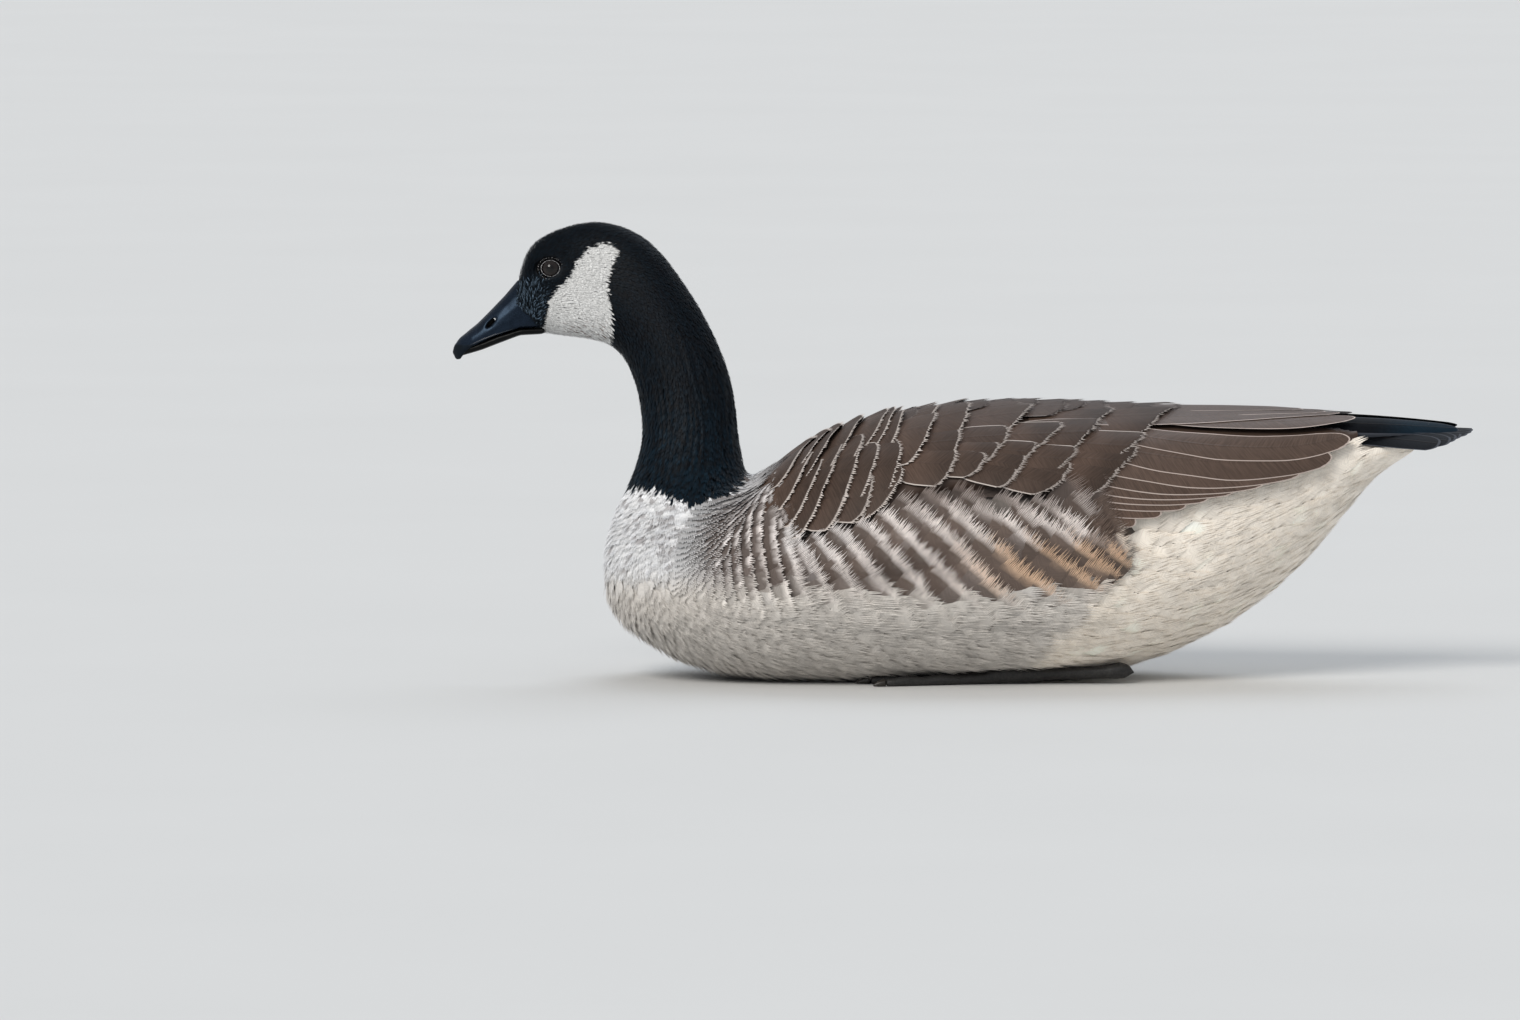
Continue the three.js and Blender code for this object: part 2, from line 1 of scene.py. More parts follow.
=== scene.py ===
"""Looks of a life-size Canada goose: skin, feather coat, wings, tail, bill, eyes and feet, in a studio."""

import json
import logging
import math
from dataclasses import dataclass, fields, replace
from typing import Callable, Sequence

import bmesh
import bpy
import numpy as np
from mathutils import Matrix, Vector
from mathutils.bvhtree import BVHTree
from mathutils.kdtree import KDTree

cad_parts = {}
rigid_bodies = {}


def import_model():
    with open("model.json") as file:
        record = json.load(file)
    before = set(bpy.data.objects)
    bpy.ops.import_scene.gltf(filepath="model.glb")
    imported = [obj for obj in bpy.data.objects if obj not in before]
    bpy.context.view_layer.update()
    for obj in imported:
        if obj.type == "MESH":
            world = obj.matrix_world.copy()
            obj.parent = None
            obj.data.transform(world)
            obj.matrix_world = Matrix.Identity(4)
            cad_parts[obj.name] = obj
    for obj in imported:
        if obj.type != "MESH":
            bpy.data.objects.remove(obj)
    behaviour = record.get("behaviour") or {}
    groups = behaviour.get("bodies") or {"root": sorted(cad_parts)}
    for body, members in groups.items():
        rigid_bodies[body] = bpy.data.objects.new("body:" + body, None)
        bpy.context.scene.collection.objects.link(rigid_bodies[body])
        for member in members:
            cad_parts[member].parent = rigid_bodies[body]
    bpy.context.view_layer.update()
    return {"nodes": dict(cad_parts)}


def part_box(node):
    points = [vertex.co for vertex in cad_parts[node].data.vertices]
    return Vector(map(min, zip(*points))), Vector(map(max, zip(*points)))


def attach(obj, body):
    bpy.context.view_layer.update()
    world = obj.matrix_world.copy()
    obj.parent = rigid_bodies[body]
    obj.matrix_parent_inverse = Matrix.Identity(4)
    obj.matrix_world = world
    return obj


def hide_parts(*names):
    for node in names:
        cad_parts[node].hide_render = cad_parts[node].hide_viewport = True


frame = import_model()

BODY = "root"
SEED = 20
SIDES = {"left": 1.0, "right": -1.0}
FLOOR_CLEARANCE = 0.0004
MM = 1000.0
log = logging.getLogger("goose")

Array = np.ndarray
BMesh = bmesh.types.BMesh
Material = bpy.types.Material
Mesh = bpy.types.Mesh
Rng = np.random.Generator
Socket = bpy.types.NodeSocket
Colour = tuple[float, float, float]
Pixel = tuple[float, float]
Spot = tuple[float, float, float]


def smoothstep(low: float, high: float, value: Array) -> Array:
    """A soft step.

    Args:
        low: value where the step starts.
        high: value where it is full.
        value: values to step.

    Returns:
        Numbers from 0 to 1.
    """
    share = np.clip((value - low) / (high - low), 0.0, 1.0)
    return share * share * (3.0 - 2.0 * share)


def unit(vectors: Array) -> Array:
    """Vectors of length 1 along the given ones."""
    return vectors / np.maximum(np.linalg.norm(vectors, axis=-1, keepdims=True), 1e-12)


def dot(a: Array, b: Array) -> Array:
    """Dot products along the last axis."""
    return np.sum(a * b, axis=-1)


def blend(low: Array, high: Array, share: Array) -> Array:
    """Rows between low and high, by one share for each row."""
    return low + (high - low) * share[:, None]


def vary(colour: Array, rng: Rng, amount: float) -> Array:
    """Colours with a small difference of brightness each."""
    return colour * (1 + amount * rng.standard_normal(len(colour)))[:, None]


def points_of(mesh: Mesh, kind: str = "co") -> Array:
    """Places or normals of a mesh's points, (n, 3)."""
    values = np.zeros(len(mesh.vertices) * 3)
    mesh.vertices.foreach_get(kind, values)
    return values.reshape(-1, 3)


def move_points(mesh: Mesh, points: Array) -> None:
    """Puts a mesh's points at new places."""
    mesh.vertices.foreach_set("co", points.astype(np.float32).ravel())


def inside(points: Array, outline: Sequence[Pixel]) -> Array:
    """How far points lie inside a closed outline.

    Args:
        points: array of (n, 2).
        outline: corners of the outline in order.

    Returns:
        Distance to the outline, positive inside and negative outside.
    """
    corners = np.asarray(outline, float)
    ends = np.roll(corners, -1, axis=0)
    nearest = np.full(len(points), 1e9)
    crossings = np.zeros(len(points), int)
    for start, end in zip(corners, ends):
        along = end - start
        share = np.clip((points - start) @ along / max(along @ along, 1e-12), 0.0, 1.0)
        nearest = np.minimum(nearest, np.linalg.norm(points - start - share[:, None] * along, axis=1))
        spans = (points[:, 1] < start[1]) != (points[:, 1] < end[1])
        rise = np.where(abs(along[1]) < 1e-9, 1e-9, along[1])
        reach = start[0] + (points[:, 1] - start[1]) * along[0] / rise
        crossings += spans & (points[:, 0] < reach)
    return np.where(crossings % 2 == 1, nearest, -nearest)


@dataclass(frozen=True)
class SidePicture:
    """The left side of the goose as a picture, whose pixels name places on the body."""

    pixel: float = 0.00066
    middle: float = 964.0
    floor: float = 678.0
    width: float = 1520.0
    height: float = 1020.0
    rise: float = math.radians(4.4)
    distance: float = 9.0

    @property
    def aim(self) -> Vector:
        """Point of the middle plane that the camera looks at."""
        x = (self.width / 2 - self.middle) * self.pixel
        return Vector((x, 0.0, (self.floor - self.height / 2) * self.pixel))

    def seen(self, points: Array) -> Array:
        """Pixels at which points of either side are seen.

        Args:
            points: array of (..., 3) in metres; the right side counts as mirrored.

        Returns:
            Array of (..., 2) pixels.
        """
        near = np.abs(points[..., 1])
        grown = 1.0 + near / self.distance
        x = self.aim.x + (points[..., 0] - self.aim.x) * grown
        lowered = points[..., 2] - near * math.sin(self.rise)
        z = self.aim.z + (lowered - self.aim.z) * grown
        return np.stack([self.middle + x / self.pixel, self.floor - z / self.pixel], axis=-1)


PICTURE = SidePicture()


@dataclass(frozen=True)
class Rib:
    """A cut across the body, from a point of the back to one of the underside, in metres along X and Z."""

    name: str
    back: tuple[float, float]
    belly: tuple[float, float]


RIBS = tuple(Rib(*row) for row in (
    ("bill", (-0.3035, 0.2502), (-0.3000, 0.2247)), ("bill base", (-0.2934, 0.2647), (-0.2871, 0.2290)),
    ("forehead", (-0.2870, 0.2810), (-0.2840, 0.2284)), ("brow", (-0.2719, 0.2950), (-0.2792, 0.2282)),
    ("crown", (-0.2410, 0.3023), (-0.2690, 0.2268)), ("hind crown", (-0.2105, 0.2917), (-0.2520, 0.2246)),
    ("nape", (-0.1860, 0.2630), (-0.2340, 0.2205)), ("high neck", (-0.1643, 0.2257), (-0.2220, 0.2080)),
    ("mid neck", (-0.1530, 0.1940), (-0.2135, 0.1800)), ("low neck", (-0.1505, 0.1730), (-0.2129, 0.1531)),
    ("neck foot", (-0.1482, 0.1550), (-0.2225, 0.1245)),
    ("upper breast", (-0.1452, 0.1406), (-0.2363, 0.0944)),
    ("breast", (-0.1435, 0.1330), (-0.2375, 0.0600)), ("fore breast", (-0.1346, 0.1350), (-0.2171, 0.0271)),
    ("shoulders", (-0.1100, 0.1495), (-0.1630, 0.0020)), ("mid back", (-0.0653, 0.1695), (-0.0950, 0.0)),
    ("back", (0.0, 0.1815), (0.0050, 0.0)), ("loins", (0.0700, 0.1820), (0.0930, 0.0020)),
    ("rump", (0.1400, 0.1785), (0.1750, 0.0350)), ("vent", (0.2020, 0.1755), (0.2297, 0.0805)),
    ("tail coverts", (0.2550, 0.1695), (0.2700, 0.1310)), ("tail root", (0.2910, 0.1672), (0.3010, 0.1530)),
))


def along_curve(points: Array, places: Array) -> Array:
    """Points of a Catmull-Rom curve.

    Args:
        points: the curve's points, (n, k).
        places: places on it, 0 at the first point and n - 1 at the last.

    Returns:
        Array of (len(places), k).
    """
    padded = np.vstack([2 * points[0] - points[1], points, 2 * points[-1] - points[-2]])
    first = np.clip(np.floor(places).astype(int), 0, len(points) - 2)
    t = (places - first)[:, None]
    a, b, c, d = (padded[first + k] for k in range(4))
    return 0.5 * (2 * b + (c - a) * t + (2 * a - 5 * b + 4 * c - d) * t**2 + (3 * b - a - 3 * c + d) * t**3)


class SurfaceMap:
    """A body surface on a grid of rows from bill to tail and spokes round it.

    A place is (u, angle): u is metres along the body's middle line, and angle is 0 on the back, grows
    over the left side and is half a turn on the belly. The right side has negative angles.
    """

    ROWS = 320
    HALF_SPOKES = 97
    SMOOTHING = 3

    def __init__(self, points: Array, length: float, ribs: dict[str, float]) -> None:
        """Keeps a grid of points and works out its slopes and normals.

        Args:
            points: array of (rows, spokes, 3), from minus half a turn to plus half a turn.
            length: length of the middle line.
            ribs: place along of each named cut.
        """
        self.points = points
        self.length = length
        self.ribs = ribs
        self.step = length / (points.shape[0] - 1)
        self.turn = 2 * math.pi / (points.shape[1] - 1)
        self.along = np.gradient(points, self.step, axis=0)
        ring = np.concatenate([points[:, -2:-1], points, points[:, 1:2]], axis=1)
        self.around = (ring[:, 2:] - ring[:, :-2]) / (2 * self.turn)
        self.normals = unit(np.cross(self.around, self.along))
        self.seen = PICTURE.seen(points)

    @classmethod
    def cast(cls, surface: BVHTree) -> "SurfaceMap":
        """Measures a closed surface by rays from the body's middle line.

        Args:
            surface: the surface.

        Returns:
            The map of its left side and that side's mirror image.
        """
        backs = np.array([rib.back for rib in RIBS])
        bellies = np.array([rib.belly for rib in RIBS])
        fine = np.linspace(0, len(RIBS) - 1, 2000)
        middle = along_curve((backs + bellies) / 2, fine)
        run = np.concatenate([[0], np.cumsum(np.linalg.norm(np.diff(middle, axis=0), axis=1))])
        places = np.interp(np.linspace(0, run[-1], cls.ROWS), run, fine)
        back, belly = along_curve(backs, places), along_curve(bellies, places)
        half = np.zeros((cls.ROWS, cls.HALF_SPOKES, 3))
        for row in range(cls.ROWS):
            centre = Vector(((back[row, 0] + belly[row, 0]) / 2, 0, (back[row, 1] + belly[row, 1]) / 2))
            up = Vector((back[row, 0] - belly[row, 0], 0, back[row, 1] - belly[row, 1])).normalized()
            for spoke, angle in enumerate(np.linspace(0, math.pi, cls.HALF_SPOKES)):
                ray = up * math.cos(angle) + Vector((0, -math.sin(angle), 0))
                hit = surface.ray_cast(centre, ray)[0]
                half[row, spoke] = hit if hit is not None else centre
        grid = cls.mirror(half)
        for _ in range(cls.SMOOTHING):
            grid = cls.soften(grid)
        ribs = {rib.name: float(np.interp(k, fine, run)) for k, rib in enumerate(RIBS)}
        return cls(grid, float(run[-1]), ribs)

    @staticmethod
    def mirror(half: Array) -> Array:
        """The whole grid from its left half."""
        other = half[:, ::-1] * np.array([1, -1, 1])
        return np.concatenate([other[:, :-1], half], axis=1)

    @staticmethod
    def soften(grid: Array) -> Array:
        """The grid with each point eased towards its neighbours."""
        rows = np.concatenate([grid[:1], grid, grid[-1:]])
        grid = np.concatenate([grid[:1], (rows[:-2] + 2 * rows[1:-1] + rows[2:])[1:-1] / 4, grid[-1:]])
        ring = np.concatenate([grid[:, -2:-1], grid, grid[:, 1:2]], axis=1)
        return (ring[:, :-2] + 2 * ring[:, 1:-1] + ring[:, 2:]) / 4

    def raised(self, heights: Array) -> "SurfaceMap":
        """A map of the surface lifted along its normals by (rows, spokes) heights in metres."""
        return SurfaceMap(self.points + self.normals * heights[..., None], self.length, self.ribs)

    def grid(self) -> tuple[Array, Array]:
        """Place along of each row and place round of each spoke, ready to spread over the grid."""
        rows, spokes = self.points.shape[:2]
        return np.arange(rows)[:, None] * self.step, np.linspace(-math.pi, math.pi, spokes)[None]

    def sample(self, grid: Array, u: Array, angle: Array) -> Array:
        """Values of a grid between its points.

        Args:
            grid: array of (rows, spokes) or (rows, spokes, k).
            u: places along.
            angle: places round.

        Returns:
            Values in the shape of u, with k last.
        """
        row = np.clip(u / self.step, 0, grid.shape[0] - 1.001)
        spoke = ((angle + math.pi) % (2 * math.pi)) / self.turn
        i, j = row.astype(int), np.minimum(spoke.astype(int), grid.shape[1] - 2)
        a, b = row - i, spoke - j
        if grid.ndim == 3:
            a, b = a[..., None], b[..., None]
        low = grid[i, j] * (1 - b) + grid[i, j + 1] * b
        high = grid[i + 1, j] * (1 - b) + grid[i + 1, j + 1] * b
        return low * (1 - a) + high * a

    def point(self, u: Array, angle: Array) -> Array:
        """Points of the surface, carried on straight past its two ends."""
        past = u - np.clip(u, 0, self.length)
        found = self.sample(self.points, u, angle)
        if np.any(past):
            found = found + past[..., None] * self.sample(self.along, u, angle)
        return found

    def steps(self, u: Array, angle: Array, vector: Array) -> tuple[Array, Array]:
        """How u and angle change along a vector that lies in the surface."""
        along, around = self.sample(self.along, u, angle), self.sample(self.around, u, angle)
        e, f, g = dot(along, along), dot(along, around), dot(around, around)
        p, q = dot(along, vector), dot(around, vector)
        size = np.maximum(e * g - f * f, 1e-12)
        return (g * p - f * q) / size, (e * q - f * p) / size

    def lifted(self, u: Array, angle: Array, height: Array) -> Array:
        """Points at heights over the surface."""
        return self.point(u, angle) + self.sample(self.normals, u, angle) * height[..., None]

    def axes(self, u: Array, angle: Array, lean: Array) -> tuple[Array, Array, Array]:
        """Directions of feathers that grow at some places.

        Args:
            u: places along.
            angle: places round.
            lean: turn of each feather from the body's length towards the belly, in radians.

        Returns:
            Directions along and across the feathers, and the normals.
        """
        normal = self.sample(self.normals, u, angle)
        length = unit(self.sample(self.along, u, angle))
        around = self.sample(self.around, u, angle)
        down = unit(around - dot(around, length)[..., None] * length) * np.sign(angle + 1e-9)[..., None]
        along = np.cos(lean)[..., None] * length + np.sin(lean)[..., None] * down
        return along, np.cross(normal, along), normal

    def locate(self, pixels: Sequence[Pixel]) -> tuple[Array, Array]:
        """Places of the left side that are seen at some pixels.

        Args:
            pixels: pixels of the side picture.

        Returns:
            Arrays of u and angle.
        """
        first = self.points.shape[1] // 2
        seen = self.seen[:, first:]
        facing = self.normals[:, first:, 1] < 0.15
        slope_u, slope_a = np.gradient(seen, self.step, self.turn, axis=(0, 1))
        us, angles = [], []
        for pixel in pixels:
            gap = np.linalg.norm(seen - np.asarray(pixel), axis=2) + np.where(facing, 0, 1e6)
            i, j = np.unravel_index(np.argmin(gap), gap.shape)
            slopes = np.stack([slope_u[i, j], slope_a[i, j]], axis=1)
            shift = np.linalg.lstsq(slopes, np.asarray(pixel) - seen[i, j], rcond=None)[0]
            us.append(i * self.step + np.clip(shift[0], -self.step, self.step))
            angles.append(j * self.turn + np.clip(shift[1], -self.turn, self.turn))
        return np.array(us), np.array(angles)


@dataclass(frozen=True)
class Vane:
    """Form of one kind of feather, in shares of its length and half width."""

    strips: int = 9
    rows: int = 5
    split: float = 0.62
    root: float = 0.35
    widest: float = 0.55
    drop: float = 0.30
    blunt: float = 2.2
    slant: float = 0.0
    fray: float = 0.16
    spread: float = 0.10
    sweep: float = 0.0
    narrow: float = 0.15
    crowd: float = 1.0
    side_fringe: float = 2.6
    tip_fringe: float = 1.0
    thin: float = 0.55
    variants: int = 4


@dataclass
class Template:
    """One feather's points and triangles before it is laid on the body."""

    across: Array
    along: Array
    side_gap: Array
    tip_gap: Array
    triangles: Array

    @staticmethod
    def barbs(vane: Vane) -> tuple[BMesh, bool]:
        """A flat grid from -1 to 1, cut into strips past the vane's split.

        Args:
            vane: form of the feather.

        Returns:
            The grid, and whether any strips are cut.
        """
        bm = bmesh.new()
        bmesh.ops.create_grid(bm, x_segments=vane.strips, y_segments=vane.rows, size=1.0)
        for vert in bm.verts:
            vert.co.y = 1.0 - 2.0 * ((1.0 - vert.co.y) / 2.0) ** vane.crowd
        level = vane.split * 2.0 - 1.0 - 1e-4
        cuts = [
            edge for edge in bm.edges
            if abs(edge.verts[0].co.x - edge.verts[1].co.x) < 1e-5
            and abs(edge.verts[0].co.x) < 0.999
            and min(vert.co.y for vert in edge.verts) > level
        ]
        bmesh.ops.split_edges(bm, edges=cuts)
        for face in list(bm.faces) if cuts else ():
            top = [vert for vert in face.verts if vert.co.y > 0.999]
            if len(top) == 2:
                bmesh.ops.pointmerge(bm, verts=top, merge_co=(top[0].co + top[1].co) / 2)
        bmesh.ops.triangulate(bm, faces=bm.faces[:])
        bm.verts.index_update()
        return bm, bool(cuts)

    @classmethod
    def cut(cls, vane: Vane, rng: Rng) -> "Template":
        """Gives a grid of barbs a feather's outline.

        Args:
            vane: form of the feather.
            rng: source of the fraying.

        Returns:
            The template.
        """
        bm, split = cls.barbs(vane)
        s = np.array([vert.co.x for vert in bm.verts])
        t = np.array([(vert.co.y + 1.0) / 2.0 for vert in bm.verts])
        strip = np.array([np.mean([f.calc_center_median().x for f in v.link_faces]) for v in bm.verts])
        triangles = np.array([[vert.index for vert in face.verts] for face in bm.faces])
        bm.free()
        home = np.clip(np.floor((strip + 1.0) / 2.0 * vane.strips).astype(int), 0, vane.strips - 1)
        centre = (home + 0.5) / vane.strips * 2.0 - 1.0
        uneven = rng.uniform(0, 1, vane.strips)
        sway = rng.normal(0, 1, vane.strips)
        frayed = (t > vane.split + 1e-4) & split
        free = np.clip((t - vane.split) / max(1.0 - vane.split, 1e-6), 0, 1) * frayed
        s_end = np.where(frayed, centre + (s - centre) * (1 - vane.thin * free), s)
        reach = 1 - vane.drop * np.abs(s_end) ** vane.blunt + vane.slant * s_end
        reach = reach - vane.fray * uneven[home] * free
        grown = np.minimum(t / vane.widest, 1.0)
        closing = np.clip((t - vane.widest) / (1.0 - vane.widest), 0, 1)
        width = vane.root + (1 - vane.root) * np.sin(grown * math.pi / 2) ** 0.9
        width = width * (1 - vane.narrow * closing**2)
        across = s_end * width + free * (vane.spread * s_end + 0.35 * sway[home] / vane.strips - vane.sweep)
        side_gap = np.maximum(1 - np.abs(s), 0) * width * vane.side_fringe
        return cls(across, t * reach, side_gap, (1 - t) * reach * vane.tip_fringe, triangles)


@dataclass
class Plan:
    """Where the feathers of a tract grow and how each of them is made. One value may serve them all."""

    u: Array
    angle: Array
    lean: Array | float
    length: Array | float
    width: Array | float
    base: Array | float = 0.0
    tip: Array | float = 0.0
    root_height: Array | float = 0.0
    tip_height: Array | float = 0.0
    tip_from: Array | float = 0.5
    camber: float = 0.06
    patch: float = 0.003
    ramp: float = 0.28

    def __post_init__(self) -> None:
        """Gives each feather its own values."""
        count = len(self.u)
        for item in fields(self)[2:10]:
            shape = (count, 3) if item.name in ("base", "tip") else count
            setattr(self, item.name, np.array(np.broadcast_to(getattr(self, item.name), shape), float))

    def kept(self, keep: Array) -> "Plan":
        """The feathers for which keep is true."""
        return Plan(**{k: v[keep] if isinstance(v, np.ndarray) else v for k, v in self.__dict__.items()})

    def singles(self) -> list["Plan"]:
        """A plan for each feather."""
        return [self.kept(np.arange(len(self.u)) == k) for k in range(len(self.u))]


class Coat:
    """The feathers of one piece, gathered as arrays and joined into one mesh.

    The barb pattern counts its cells along the barbs and across them, per metre, and each feather starts at
    its own cell. The unwrap leaves a margin round the roots.
    """

    RUN, SLANT, ACROSS, CELLS = 100, 35, 50, 90
    MARGIN = 0.04

    def __init__(self, name: str, surface: SurfaceMap, rng: Rng) -> None:
        """Starts an empty coat.

        Args:
            name: name of the piece.
            surface: surface that the feathers lie on.
            rng: source of small differences.
        """
        self.name = name
        self.surface = surface
        self.rng = rng
        self.blocks: list[dict[str, Array]] = []
        self.count = 0

    def add(self, template: Template, points: Array, plan: Plan, flip: Array) -> None:
        """Adds feathers whose points are known.

        Args:
            template: their template.
            points: array of (feathers, points, 3).
            plan: the feathers, whose u and angle place their patches on the unwrap.
            flip: 1 where the template is mirrored, else -1.
        """
        feathers, verts = points.shape[:2]
        points = points.copy()
        points[..., 2] = np.maximum(points[..., 2], FLOOR_CLEARANCE + 0.0002 * self.rng.random((feathers, 1)))
        length, width = plan.length[:, None], plan.width[:, None]
        across, along = (np.tile(values, (feathers, 1)) for values in (template.across, template.along))
        edge = np.minimum(template.side_gap * width / 2 * MM, template.tip_gap * length * MM)
        share = smoothstep(0.0, 1.0, (along - plan.tip_from[:, None]) / plan.ramp)[..., None]
        scatter = self.rng.integers(0, self.CELLS, (feathers, 1, 2))
        run = along * length * self.RUN - np.abs(across) * width * self.SLANT
        faces = template.triangles
        faces = np.where(flip[:, None, None] > 0, faces[:, ::-1], faces)
        blocks = {
            "co": points,
            "tint": plan.base[:, None] * (1 - share) + plan.tip[:, None] * share,
            "vane": np.stack([across, along, edge], axis=-1),
            "barb": np.stack([across * width * self.ACROSS, run], axis=-1) + scatter,
            "root": np.repeat(np.stack([plan.u, plan.angle], axis=1), verts, axis=0),
            "flat": np.stack([across / 2, along - 0.5], axis=-1) * plan.patch,
            "faces": faces + (self.count + np.arange(feathers) * verts)[:, None, None],
        }
        self.blocks.append({name: values.reshape(-1, values.shape[-1]) for name, values in blocks.items()})
        self.count += feathers * verts

    def rise(self, template: Template, plan: Plan, u: Array, angle: Array) -> Array:
        """Points of feathers at their heights over the surface.

        Args:
            template: template of the feathers.
            plan: the feathers.
            u: place along of each point.
            angle: place round of each point.

        Returns:
            Array of (feathers, points, 3).
        """
        share = np.clip(template.along, 0, 1)[None]
        height = plan.root_height[:, None] * (1 - share) + plan.tip_height[:, None] * share**1.3
        arch = plan.camber * plan.width[:, None] * (1 - template.across[None] ** 2) * (0.3 + 0.7 * share)
        return self.surface.lifted(u, angle, height + arch)

    def lay(self, vane: Vane, plan: Plan) -> None:
        """Lays feathers from their roots in the direction of their lean.

        Args:
            vane: form of the feathers.
            plan: the tract.
        """
        which = self.rng.integers(0, vane.variants, len(plan.u))
        for kind in range(vane.variants):
            template = Template.cut(vane, self.rng)
            part = plan.kept(which == kind)
            if len(part.u) == 0:
                continue
            along, across, _ = self.surface.axes(part.u, part.angle, part.lean)
            flip = np.sign(part.angle + 1e-9)
            u_b, a_b = self.surface.steps(part.u, part.angle, across)
            u_t, a_t = self.surface.steps(part.u, part.angle, along)
            x = template.across[None] * (part.width * flip / 2)[:, None]
            y = template.along[None] * part.length[:, None]
            u = part.u[:, None] + x * u_b[:, None] + y * u_t[:, None]
            angle = part.angle[:, None] + x * a_b[:, None] + y * a_t[:, None]
            self.add(template, self.rise(template, part, u, angle), part, flip)

    def stretch(self, vane: Vane, plan: Plan, end_u: Array, end_angle: Array) -> None:
        """Lays feathers along paths from their roots to given ends.

        Args:
            vane: form of the feathers.
            plan: the tract, in which length is worked out anew.
            end_u: place along of each tip.
            end_angle: place round of each tip.
        """
        surface = self.surface
        for k, one in enumerate(plan.singles()):
            template = Template.cut(vane, self.rng)
            run, swing = end_u[k] - plan.u[k], end_angle[k] - plan.angle[k]
            u = plan.u[k] + run * template.along
            angle = plan.angle[k] + swing * template.along
            path = surface.point(
                np.linspace(plan.u[k], end_u[k], 9), np.linspace(plan.angle[k], end_angle[k], 9)
            )
            one.length = np.linalg.norm(np.diff(path, axis=0), axis=1).sum(keepdims=True)
            slope = surface.sample(surface.along, u, angle) * run
            slope = slope + surface.sample(surface.around, u, angle) * swing
            across = unit(np.cross(surface.sample(surface.normals, u, angle), slope))
            flip = np.sign(one.angle + 1e-9)
            du, da = surface.steps(u, angle, across)
            x = template.across * plan.width[k] * flip[0] / 2
            points = self.rise(template, one, (u + x * du)[None], (angle + x * da)[None])
            self.add(template, points, one, flip)

    def spread(self, vane: Vane, plan: Plan, start: Array, end: Array, normal: Array, arch: float) -> None:
        """Lays stiff feathers that stand clear of the body, such as those of the tail.

        Args:
            vane: form of the feathers.
            plan: the tract, whose u and angle only place the patches of the unwrap.
            start: root of each feather in metres, (n, 3).
            end: tip of each feather.
            normal: direction that each feather's upper side faces.
            arch: rise of a feather's middle over the line from root to tip, as a share of its length.
        """
        for k, one in enumerate(plan.singles()):
            template = Template.cut(vane, self.rng)
            line = end[k] - start[k]
            one.length = np.linalg.norm(line, keepdims=True)
            across = unit(np.cross(normal[k], line))
            up = unit(np.cross(line, across))
            side, share = template.across[:, None], template.along[:, None]
            bulge = arch * one.length * np.sin(np.clip(share, 0, 1) * math.pi)
            bulge = bulge + plan.camber * plan.width[k] * (1 - side**2)
            points = start[k] + line * share + across * side * plan.width[k] / 2 + up * bulge
            self.add(template, points[None], one, np.ones(1))

    def finish(self, material: Material, slot: str, replaced: Sequence[str] = ()) -> None:
        """Joins the feathers into one piece and hands it over.

        Args:
            material: its material.
            slot: not used.
            replaced: nodes that it stands for.
        """
        block = {k: np.concatenate([b[k] for b in self.blocks]) for k in self.blocks[0]}
        corners = block["faces"].astype(np.int32).ravel()
        mesh = bpy.data.meshes.new(self.name)
        mesh.vertices.add(len(block["co"]))
        move_points(mesh, block["co"])
        mesh.loops.add(len(corners))
        mesh.loops.foreach_set("vertex_index", corners)
        mesh.polygons.add(len(block["faces"]))
        mesh.polygons.foreach_set("loop_start", np.arange(0, len(corners), 3, dtype=np.int32))
        mesh.update(calc_edges=True)
        low, high = block["root"].min(0), block["root"].max(0)
        spread = (block["root"] - low) / np.maximum(high - low, 1e-6)
        unwrap = self.MARGIN + (1 - 2 * self.MARGIN) * spread + block["flat"]
        for name, values in (("OFBake", unwrap), ("Barb", block["barb"])):
            mesh.uv_layers.new(name=name).data.foreach_set("uv", values[corners].astype(np.float32).ravel())
        dress(mesh, block["tint"], block["vane"])
        hand_over(self.name, mesh, material, replaced)


PLAIN_VANE = np.array([0.5, 0.5, 99.0])


def dress(mesh: Mesh, tint: Array, vane: Array) -> None:
    """Gives a mesh what the plumage finish reads at each point.

    Args:
        mesh: the mesh.
        tint: colours of its points.
        vane: place across and along a feather, and millimetres to its edge, for each point or for all.
    """
    rgba = np.concatenate([np.clip(tint, 0, 1), np.ones((len(tint), 1))], axis=1)
    places = np.broadcast_to(vane, tint.shape)
    for name, kind, key, values in (
        ("tint", "FLOAT_COLOR", "color", rgba), ("vane", "FLOAT_VECTOR", "vector", places),
    ):
        mesh.attributes.new(name, kind, "POINT").data.foreach_set(key, values.astype(np.float32).ravel())


def hand_over(
    name: str, mesh: Mesh, material: Material, replaced: Sequence[str] = ()
) -> None:
    """Puts a finished piece into the scene, on its body and with its material.

    Args:
        name: name of the piece.
        mesh: its mesh.
        material: its material.
        replaced: nodes that it stands for.
    """
    mesh.name = name
    mesh.shade_smooth()
    mesh.materials.clear()
    mesh.materials.append(material)
    piece = bpy.data.objects.new(name, mesh)
    bpy.context.scene.collection.objects.link(piece)
    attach(piece, BODY)
    if replaced:
        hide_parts(*replaced)
    mesh.calc_loop_triangles()
    log.info("%s: %d triangles", name, len(mesh.loop_triangles))


def from_bmesh(
    name: str, bm: BMesh, material: Material, replaced: Sequence[str] = ()
) -> None:
    """Hands over a closed piece made of a bmesh, which is used up. The rest is as hand_over says."""
    bmesh.ops.recalc_face_normals(bm, faces=bm.faces[:])
    hand_over(name, mesh_from(bm, name), material, replaced)


def mesh_from(bm: BMesh, name: str) -> Mesh:
    """A mesh made of a bmesh, which is used up."""
    mesh = bpy.data.meshes.new(name)
    bm.to_mesh(mesh)
    bm.free()
    return mesh


